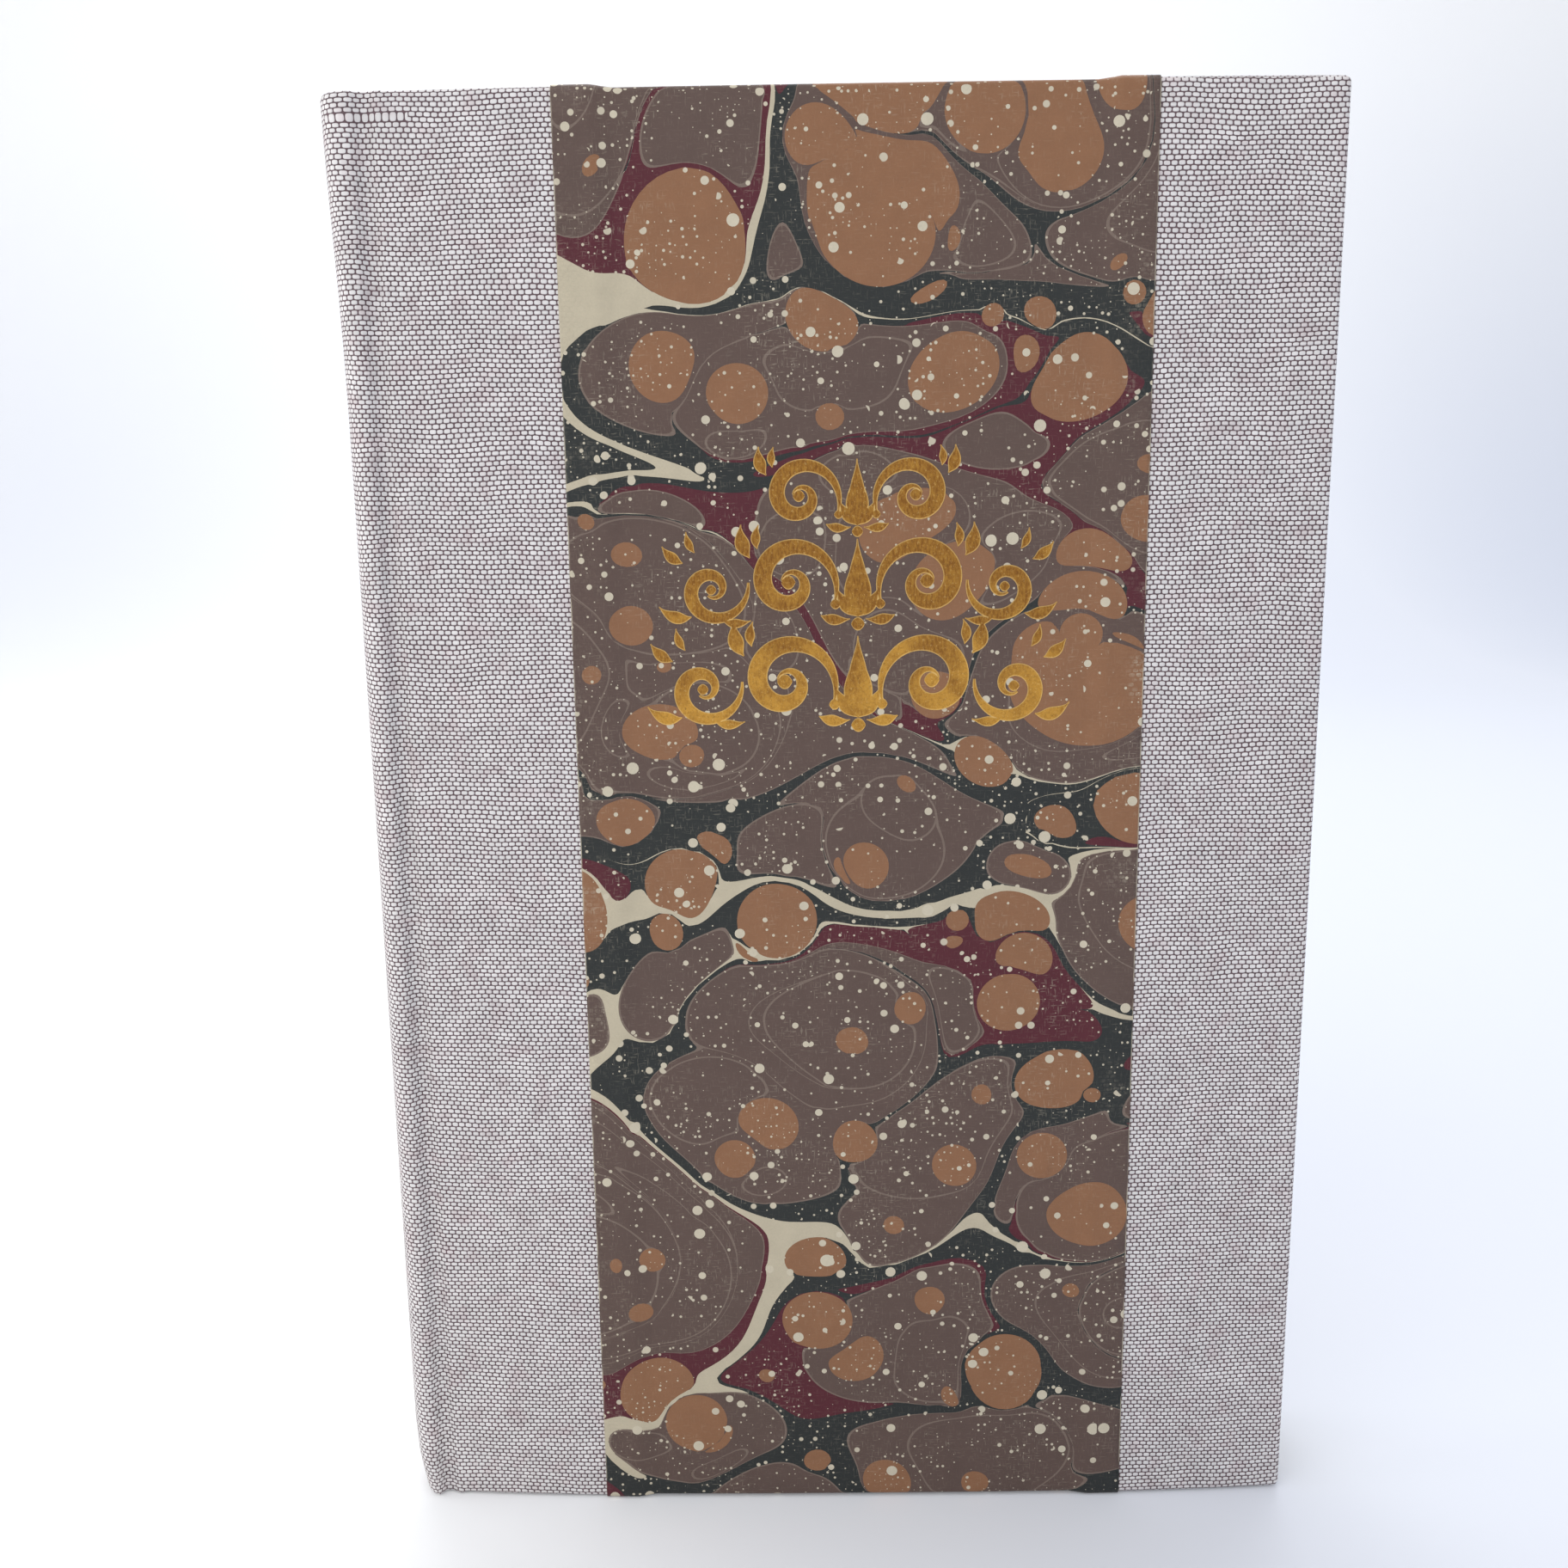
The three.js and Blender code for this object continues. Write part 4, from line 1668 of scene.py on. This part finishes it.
        faces.append(add([(0, folds[0]), (wide, folds[0]), (wide, folds[-1]), (0, folds[-1])]))
        inks = [Ink.BARE]
        for outline, ink in zip(bath.outlines(), bath.inks):
            moved = outline + np.array([0.0, base])
            low, high = moved.min(0), moved.max(0)
            if high[0] < 0 or low[0] > wide or high[1] < folds[0] or low[1] > folds[-1]:
                continue
            faces.append(add(moved))
            inks.append(ink)
        for v in folds[1:-1]:
            edges.append(add([(0, v), (wide, v)]))
        for u in columns:
            edges.append(add([(u, folds[0]), (u, folds[-1])]))
        verts, _, tris, _, _, covers = delaunay_2d_cdt(points, edges, faces, 1, 1e-5, True)
        kept = [(tri, max(cover)) for tri, cover in zip(tris, covers) if 0 in cover]
        used = sorted({v for tri, _ in kept for v in tri})
        number = {v: i for i, v in enumerate(used)}
        places = [self.point(verts[v].x * MM, verts[v].y * MM) for v in used]
        mesh = bpy.data.meshes.new(self.side.node("marbled_paper"))
        mesh.from_pydata(places, [], [[number[v] for v in tri] for tri, _ in kept])
        mesh.polygons.foreach_set("material_index", [inks[top].value for _, top in kept])
        for material in materials:
            mesh.materials.append(material)
        layer = mesh.uv_layers.new(name=UV_NAME)
        flat = np.array([(verts[v].x * MM, verts[v].y * MM) for v in used], np.float32)
        loops = np.empty(len(mesh.loops), np.int32)
        mesh.loops.foreach_get("vertex_index", loops)
        layer.data.foreach_set("uv", flat[loops].ravel())
        if self.side is Side.BACK:
            mesh.flip_normals()
        mesh.shade_smooth()
        piece = bpy.data.objects.new(mesh.name, mesh)
        bpy.context.scene.collection.objects.link(piece)
        wall = piece.modifiers.new("Wall", "SOLIDIFY")
        wall.thickness, wall.offset = self.plan.paper, -1.0
        wall.material_offset_rim = -len(inks)
        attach(piece, self.side.body)
        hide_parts(self.side.node("marbled_panel"))
        log.info("%s: %d drops, %d triangles", piece.name, len(inks), len(kept))
        return piece


@dataclass
class Stroke:
    """A pen stroke of changing width, in millimetres.

    Attributes:
        line: The points that it follows.
        thin: Width at its ends.
        thick: Greatest width.
        peak: Share of its length at which it is widest.
    """

    line: list[Pair]
    thin: float
    thick: float
    peak: float = 0.5

    def mirrored(self) -> "Stroke":
        """Returns the stroke's mirror image across the upright axis."""
        return Stroke([(-x, y) for x, y in self.line], self.thin, self.thick, self.peak)

    def outline(self, inset: float = 0.0) -> list[Pair]:
        """Draws the stroke's outline.

        Args:
            inset: How far it is drawn in.

        Returns:
            The points of the outline.
        """
        count = len(self.line) - 1
        left, right = [], []
        for i, (x, y) in enumerate(self.line):
            ahead = self.line[min(i + 1, count)]
            behind = self.line[max(i - 1, 0)]
            run, rise = ahead[0] - behind[0], ahead[1] - behind[1]
            size = max(math.hypot(run, rise), 1e-9)
            share = (i / count) ** (math.log(0.5) / math.log(self.peak))
            width = self.thin + (self.thick - self.thin) * math.sin(math.pi * share) ** 1.5
            half = max(width / 2 - inset, 0.01)
            left.append((x - rise / size * half, y + run / size * half))
            right.append((x + rise / size * half, y - run / size * half))
        return right + left[::-1]


def volute(x: float, y: float, radii: Pair, turns: Pair, thick: float) -> Stroke:
    """A scroll that winds inwards to a hairline.

    Args:
        x: Middle of the scroll.
        y: Middle of the scroll.
        radii: Radius where it starts and where it ends.
        turns: Direction where it starts and where it ends, in turns.
        thick: Greatest width.

    Returns:
        The scroll.
    """
    hairline, widest = 0.36, 0.36
    count = max(12, round(abs(turns[1] - turns[0]) * 48))
    line = []
    for i in range(count + 1):
        share = i / count
        radius = radii[0] * (radii[1] / radii[0]) ** (share ** 1.1)
        angle = 2 * math.pi * (turns[0] + (turns[1] - turns[0]) * share)
        line.append((x + radius * math.cos(angle), y + radius * math.sin(angle)))
    return Stroke(line, hairline, thick, widest)


def leaf(x: float, y: float, turn: float, length: float, width: float, bend: float = 0.0) -> Stroke:
    """A pointed leaf that grows from a point and may bend.

    Args:
        x: Its foot.
        y: Its foot.
        turn: Direction of growth, in turns.
        length: Its length.
        width: Its greatest width.
        bend: How far it turns on its way, in turns.

    Returns:
        The leaf.
    """
    tip, widest, count = 0.08, 0.45, 12
    line = []
    for i in range(count + 1):
        share = i / count
        angle = 2 * math.pi * (turn + bend * share)
        line.append((x + length * share * math.cos(angle), y + length * share * math.sin(angle)))
    return Stroke(line, tip, width, widest)


def disc(x: float, y: float, radius: float) -> Stroke:
    """A round dot."""
    line = [(x - radius * math.cos(math.pi * i / 16), y) for i in range(17)]
    return Stroke(line, 0.0, 2 * radius, 0.5)


@dataclass
class GoldOrnament:
    """Three bands of scrollwork stamped in gold foil on the front, even about the middle.

    Attributes:
        panel: The paper that it is stamped on.
        middle: Height of its middle, in millimetres.
        rim: Width of its raised edge, in millimetres.
        sink: How far the foil is pressed in inside that edge.
        lift: How far the edge stands out of the paper.
        wall: Thickness of the foil, most of it in the paper.
    """

    panel: MarbledPanel
    middle: float = 149.5
    rim: float = 0.2
    sink: float = 0.035 * MM
    lift: float = 0.04 * MM
    wall: float = 0.06 * MM

    def band(self, y: float, size: float, outer: bool) -> list[Stroke]:
        """Draws one side of a band.

        Args:
            y: Height of its middle.
            size: What its sizes are multiplied by.
            outer: Whether a lesser scroll goes beside the large one.

        Returns:
            The strokes.
        """
        strokes = [
            volute(9.1 * size, y, (6.6 * size, 1.1 * size), (0.57, -0.95), 2.5 * size),
            disc(9.3 * size, y + 0.1, 0.95 * size),
            disc(3.0 * size, y - 2.9 * size, 0.7 * size),
            leaf(14.4 * size, y + 3.4 * size, 0.14, 4.6 * size, 2.0 * size, 0.07),
            leaf(13.4 * size, y + 4.6 * size, 0.20, 3.2 * size, 1.3 * size, 0.06),
            leaf(5.0 * size, y - 4.4 * size, 0.58, 4.0 * size, 1.5 * size, -0.06),
        ]
        if outer:
            strokes += [
                volute(19.6 * size, y - 0.8 * size, (5.0 * size, 0.9 * size), (0.47, 1.85), 1.9 * size),
                disc(19.7 * size, y - 0.8 * size, 0.7 * size),
                leaf(22.4 * size, y - 4.4 * size, -0.05, 4.6 * size, 1.7 * size, 0.10),
                leaf(23.4 * size, y + 2.8 * size, 0.05, 3.6 * size, 1.5 * size, 0.06),
                leaf(21.8 * size, y + 4.2 * size, 0.13, 3.0 * size, 1.1 * size, 0.06),
                leaf(18.2 * size, y - 5.0 * size, 0.56, 3.8 * size, 1.3 * size, -0.06),
            ]
        return strokes

    def strokes(self) -> list[Stroke]:
        """Draws the whole ornament.

        Returns:
            Every stroke, in millimetres from the middle.
        """
        bands = ((15.2, 0.92, False), (2.6, 1.10, True), (-12.2, 1.18, True))
        half = [stroke for band in bands for stroke in self.band(*band)]
        spine = []
        for y, size, _ in bands:
            foot = y - 4.6 * size
            spine += [leaf(0, foot, 0.25, 10.4 * size, 2.5 * size), disc(0, foot - 1.0 * size, 0.9 * size)]
            for turn, length in ((0.07, 6.8), (0.15, 4.8)):
                bent = leaf(0, foot, 0.25 - turn, length * size, 1.8 * size, 0.05)
                spine += [bent, bent.mirrored()]
        return half + [stroke.mirrored() for stroke in half] + spine

    def build(self, material: Material) -> Piece:
        """Joins the strokes into one sheet of foil, pressed in a little inside its outline.

        Args:
            material: The foil.

        Returns:
            The piece.
        """
        points, faces, inner = [], [], set()

        def add(outline: Iterable[Sequence[float]]) -> None:
            """Adds a face.

            Args:
                outline: The points round it.
            """
            start = len(points)
            points.extend(Vector(p) for p in outline)
            faces.append(list(range(start, len(points))))

        for stroke in self.strokes():
            add(stroke.outline())
            inner.add(len(faces))
            add(stroke.outline(self.rim))
        verts, _, tris, _, _, covers = delaunay_2d_cdt(points, [], faces, 1, 1e-5, True)
        kept = [(tri, any(c in inner for c in cover)) for tri, cover in zip(tris, covers) if cover]
        pressed = {v for tri, within in kept if within for v in tri}
        used = sorted({v for tri, _ in kept for v in tri})
        number = {v: i for i, v in enumerate(used)}
        panel = self.panel
        flat = [(panel.width / 2 + verts[v].x * MM, self.middle * MM + verts[v].y * MM) for v in used]
        places = [
            panel.point(u, v, self.lift - (self.sink if vert in pressed else 0.0))
            for (u, v), vert in zip(flat, used)
        ]
        mesh = bpy.data.meshes.new("gold_ornament")
        mesh.from_pydata(places, [], [[number[v] for v in tri] for tri, _ in kept])
        mesh.materials.append(material)
        layer = mesh.uv_layers.new(name=UV_NAME)
        loops = np.empty(len(mesh.loops), np.int32)
        mesh.loops.foreach_get("vertex_index", loops)
        layer.data.foreach_set("uv", np.array(flat, np.float32)[loops].ravel())
        edge = mesh.attributes.new(EDGE_NAME, "FLOAT", "POINT")
        edge.data.foreach_set("value", [0.0 if vert in pressed else 1.0 for vert in used])
        piece = bpy.data.objects.new(mesh.name, mesh)
        bpy.context.scene.collection.objects.link(piece)
        wall = piece.modifiers.new("Wall", "SOLIDIFY")
        wall.thickness, wall.offset = self.wall, -1.0
        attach(piece, panel.side.body)
        return piece


@dataclass
class Headband:
    """A band worked in thread over a cord, at the head or the tail of the pages.

    Attributes:
        node: Its node.
        wrap: Width of one turn of thread.
        around: Points round the band.
        steps: Steps along one turn of thread.
        radius: Radius of the band.
        rise: How far its ends bend towards the fore edge.
    """

    node: str
    wrap: float = 0.6 * MM
    around: int = 12
    steps: int = 4
    radius: float = 1.1 * MM
    rise: float = 1.25 * MM

    def build(self, material: Material) -> Piece:
        """Builds the band as a tube whose turns of thread stand out.

        Args:
            material: The thread.

        Returns:
            The piece.
        """
        low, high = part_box(self.node)
        up = self.node == "headband"
        height = high[2] - self.radius if up else low[2] + self.radius
        half = (high[1] - low[1]) / 2
        count = int(2 * half / self.wrap) * self.steps
        bm = bmesh.new()
        circle = bmesh.ops.create_circle(bm, segments=self.around, radius=self.radius, cap_ends=True)
        ring = circle["verts"]
        bmesh.ops.rotate(bm, verts=ring, matrix=Matrix.Rotation(math.pi / 2, 3, "X"))
        start = Vector((low[0] + self.radius + self.rise, -half, height))
        bmesh.ops.translate(bm, verts=ring, vec=start)
        face = bm.faces[:][0]
        base = [v.co - start for v in face.verts]
        for i in range(1, count + 1):
            y = -half + 2 * half * i / count
            rise = self.rise * (y / half) ** 2
            centre = Vector((low[0] + self.radius + rise, y, height))
            swell = 0.9 + 0.1 * abs(math.sin(math.pi * i / self.steps))
            face = bmesh.ops.extrude_discrete_faces(bm, faces=[face])["faces"][0]
            for vert, arm in zip(face.verts, base):
                vert.co = centre + arm * swell
        bmesh.ops.holes_fill(bm, edges=[e for e in bm.edges if e.is_boundary], sides=0)
        bmesh.ops.recalc_face_normals(bm, faces=bm.faces)
        piece = to_object(bm, f"{self.node}_thread", [material])
        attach(piece, "text_block")
        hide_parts(self.node)
        return piece


@dataclass(frozen=True)
class Lamp:
    """A soft square lamp.

    Attributes:
        name: Its name.
        place: Where it stands.
        size: Its width.
        power: Its power in watts.
        tint: Its colour.
        aim: What it looks at.
    """

    name: str
    place: Triple
    size: float
    power: float
    tint: Triple = (1.0, 1.0, 1.0)
    aim: Triple = (0.0, 0.0, 110 * MM)

    def hang(self) -> None:
        """Adds the lamp to the scene."""
        data = bpy.data.lights.new(self.name, "AREA")
        data.size, data.energy, data.color = self.size, self.power, self.tint
        lamp = bpy.data.objects.new(self.name, data)
        lamp.location = self.place
        way = Vector(self.aim) - Vector(self.place)
        lamp.rotation_euler = way.to_track_quat("-Z", "Y").to_euler()
        bpy.context.scene.collection.objects.link(lamp)


@dataclass(frozen=True)
class Shade:
    """A painted shade on the backdrop: a part that is darker, with a soft edge.

    Attributes:
        centre: Its middle.
        inner: Distance within which it is darkest.
        outer: Distance at which it ends.
        depth: How dark it is, from 0 to 1.
    """

    centre: Triple
    inner: float
    outer: float
    depth: float

    def place(self, graph: Graph, at: Socket) -> Socket:
        """Adds the shade to a material.

        Args:
            graph: The material's graph.
            at: Place on the backdrop.

        Returns:
            A value between 0 and the shade's depth.
        """
        node = graph.add("ShaderNodeVectorMath", operation="DISTANCE")
        graph.feed(node.inputs[0], at)
        node.inputs[1].default_value = self.centre
        return graph.ramp(node.outputs["Value"], self.inner, self.outer, (self.depth, 0.0))


@dataclass(frozen=True)
class Studio:
    """The pale floor and backdrop, the lamps and the camera.

    Attributes:
        camera_at: Place of the camera.
        pitch: How far it looks down, in degrees.
        yaw: How far it is turned about the upright, in degrees.
        roll: How far it is tilted, in degrees.
        lens: Its focal length, in millimetres of a sensor 36 wide.
        reach: Half the width of the floor.
        behind: Distance at which the floor starts to curve up.
        bend: Radius of the curve.
        height: Height of the wall.
        steps: Steps round the curve.
        pale: Colour of the backdrop.
        dark: Its colour in the painted shades.
        glow: Colour of the light that it adds to what is seen.
        room: Colour of the room's light.
        lamps: The lamps.
    """

    camera_at: Triple = (-5.2 * MM, -271.3 * MM, 178.9 * MM)
    pitch: float = -12.507
    yaw: float = 0.624
    roll: float = 0.839
    lens: float = 40.03
    reach: float = 1.6
    behind: float = 0.75
    bend: float = 0.35
    height: float = 1.6
    steps: int = 12
    pale: Colour = (0.9, 0.9, 0.9, 1.0)
    # Colour of the painted shade on the backdrop.
    dark: Colour = (0.56, 0.595, 0.69, 1.0)
    glow: Colour = (0.97, 0.98, 1.0, 1.0)
    room: Colour = (0.93, 0.955, 1.0, 1.0)
    lamps: tuple[Lamp, ...] = (
        Lamp("Key", (-0.55, -0.75, 0.85), 0.9, 3.8, (1.0, 0.985, 0.965)),
        Lamp("Fill", (0.75, -0.65, 0.45), 0.8, 1.2, (0.95, 0.97, 1.0)),
        Lamp("Top", (0.0, 0.55, 0.95), 0.9, 6.0),
        Lamp("Side", (-0.95, 0.1, 0.4), 0.8, 3.5),
    )

    def build(self) -> None:
        """Sets up everything that isn't part of the book."""
        self.backdrop()
        for lamp in self.lamps:
            lamp.hang()
        self.world()
        self.camera()

    def camera(self) -> None:
        """Sets up the camera."""
        data = bpy.data.cameras.new("Camera")
        data.lens, data.sensor_width = self.lens, 36.0
        camera = bpy.data.objects.new("Camera", data)
        bpy.context.scene.collection.objects.link(camera)
        level = Matrix.Rotation(math.pi / 2, 4, "X")
        turn = (
            Matrix.Rotation(math.radians(self.yaw), 4, "Z")
            @ Matrix.Rotation(math.radians(self.pitch), 4, "X")
            @ Matrix.Rotation(math.radians(self.roll), 4, "Y")
        )
        camera.matrix_world = Matrix.Translation(self.camera_at) @ turn @ level
        bpy.context.scene.camera = camera

    def backdrop(self) -> None:
        """Builds a floor that curves up into a wall behind the book."""
        bm = bmesh.new()
        ends = [bm.verts.new((x, -self.reach, 0)) for x in (-self.reach, self.reach)]
        edge = bm.edges.new(ends)
        angles = [math.pi / 2 * i / self.steps for i in range(1, self.steps + 1)]
        profile = [(self.behind, 0.0)]
        profile += [(self.behind + self.bend * math.sin(a), self.bend * (1 - math.cos(a))) for a in angles]
        profile.append((self.behind + self.bend, self.height))
        for y, z in profile:
            made = bmesh.ops.extrude_edge_only(bm, edges=[edge])["geom"]
            edge = next(g for g in made if isinstance(g, bmesh.types.BMEdge))
            for vert in edge.verts:
                vert.co.y, vert.co.z = y, z
        bmesh.ops.recalc_face_normals(bm, faces=bm.faces)
        to_object(bm, "Backdrop", [self.paint()])

    def paint(self) -> Material:
        """Makes the backdrop's material: pale, with painted shade at its sides and on the floor beside the
        book.

        Returns:
            The material.
        """
        material, g, shader = new_material("Backdrop")
        at = object_place(g)
        x, _, z = g.split(at)
        # Painted shade: darker patches on the wall to the right and left, and on the floor right of the
        # book.
        right = Shade((0.62, 0.95, 0.0), 0.05, 0.60, 1.0).place(g, at)
        left = Shade((-0.55, 1.0, 0.05), 0.0, 0.5, 0.6).place(g, at)
        beside = g.product(g.ramp(x, -0.10, 0.09, (0.0, 0.75)), g.ramp(z, 0.02, 0.3, (1.0, 0.0)))
        painted_shade = g.math("MAXIMUM", g.math("MAXIMUM", right, left), beside)
        g.feed(shader.inputs["Base Color"], g.mix(painted_shade, self.pale, self.dark))
        shader.inputs["Roughness"].default_value = 0.9
        shader.inputs["Emission Color"].default_value = self.glow
        g.feed(shader.inputs["Emission Strength"], g.product(seen_share(g), 0.12))
        return material

    def world(self) -> None:
        """Gives the room its even light, with white seen behind everything."""
        world = bpy.data.worlds.new("Room")
        world.use_nodes = True
        bpy.context.scene.world = world
        g = Graph(world.node_tree)
        shader = world.node_tree.nodes["Background"]
        shader.inputs["Color"].default_value = self.room
        g.feed(shader.inputs["Strength"], g.math("MULTIPLY_ADD", seen_share(g), 0.35, 0.65))


INK_FINISHES = (
    MarbledFinish(Ink.BARE, colour("c0b59d")),
    MarbledFinish(Ink.BLACK, colour("262928")),
    MarbledFinish(Ink.MAROON, colour("521d27")),
    MarbledFinish(Ink.RIM, colour("75655b")),
    MarbledFinish(Ink.BROWN, colour("5c4a43")),
    MarbledFinish(Ink.TAN, colour("8c6346")),
    MarbledFinish(Ink.DOT, colour("cbc1ab")),
)

PLAIN_FINISHES = (
    GrainFinish(
        "book_pages", colour("e6ddc6"), 0.09 * MM, 0.34,
        relief=0.05 * MM, stretch=(0.02, 1.0, 0.02),
    ),
    GrainFinish("endpaper", colour("dccfb2"), 0.5 * MM, 0.10, relief=0.02 * MM),
    GrainFinish("grey_board", colour("8b8072"), 0.6 * MM, 0.3, relief=0.06 * MM),
    GrainFinish("card", colour("dcd6c6"), 0.5 * MM, 0.1),
    GrainFinish("kraft_paper", colour("a5815a"), 0.4 * MM, 0.22),
    GrainFinish("mull_gauze", colour("d8d0bd"), 0.3 * MM, 0.4, relief=0.08 * MM),
    GrainFinish("linen_tape", colour("cbbf9f"), 0.3 * MM, 0.35, relief=0.08 * MM),
)

SEEDS = {Side.FRONT: 4, Side.BACK: 21}


def dress_nodes(materials: dict[str, Material]) -> None:
    """Gives every node of the frame the finish that its material slot names.

    Args:
        materials: The finishes by slot.
    """
    slots = record_slots()
    for name, obj in frame["nodes"].items():
        material = materials[slots[name]]
        obj.data.materials.clear()
        obj.data.materials.append(material)


def main() -> None:
    """Builds, dresses and lights the book."""
    logging.basicConfig(level=logging.INFO, format="%(message)s")
    bpy.context.scene.view_settings.view_transform = "Standard"
    Studio().build()
    plan = CasePlan()
    cloth = ClothFinish().make()
    inks = [finish.make() for finish in INK_FINISHES]
    materials = {finish.name: finish.make() for finish in PLAIN_FINISHES}
    materials["book_cloth"] = cloth
    materials["marbled_paper"] = inks[Ink.BROWN.value]
    materials["silk_thread"] = SilkFinish().make()
    gold = FoilFinish().make()
    dress_nodes(materials)
    pieces = [SpineInlay(plan).build(materials[record_slots()["spine_inlay"]])]
    for side, seed in SEEDS.items():
        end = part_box(side.node("spine_side_cloth"))[1][0]
        panel = MarbledPanel(plan, side, seed)
        pieces += [
            QuarterCloth(plan, side).build(end, cloth),
            ForeEdgeCloth(plan, side).build(cloth),
            panel.build(inks),
        ]
        if side is Side.FRONT:
            pieces.append(GoldOrnament(panel).build(gold))
    pieces += [Headband(node).build(materials["silk_thread"]) for node in ("headband", "tailband")]
    for piece in pieces:
        log.info("%s: %d faces", piece.name, len(piece.data.polygons))


if __name__ == "__main__":
    main()
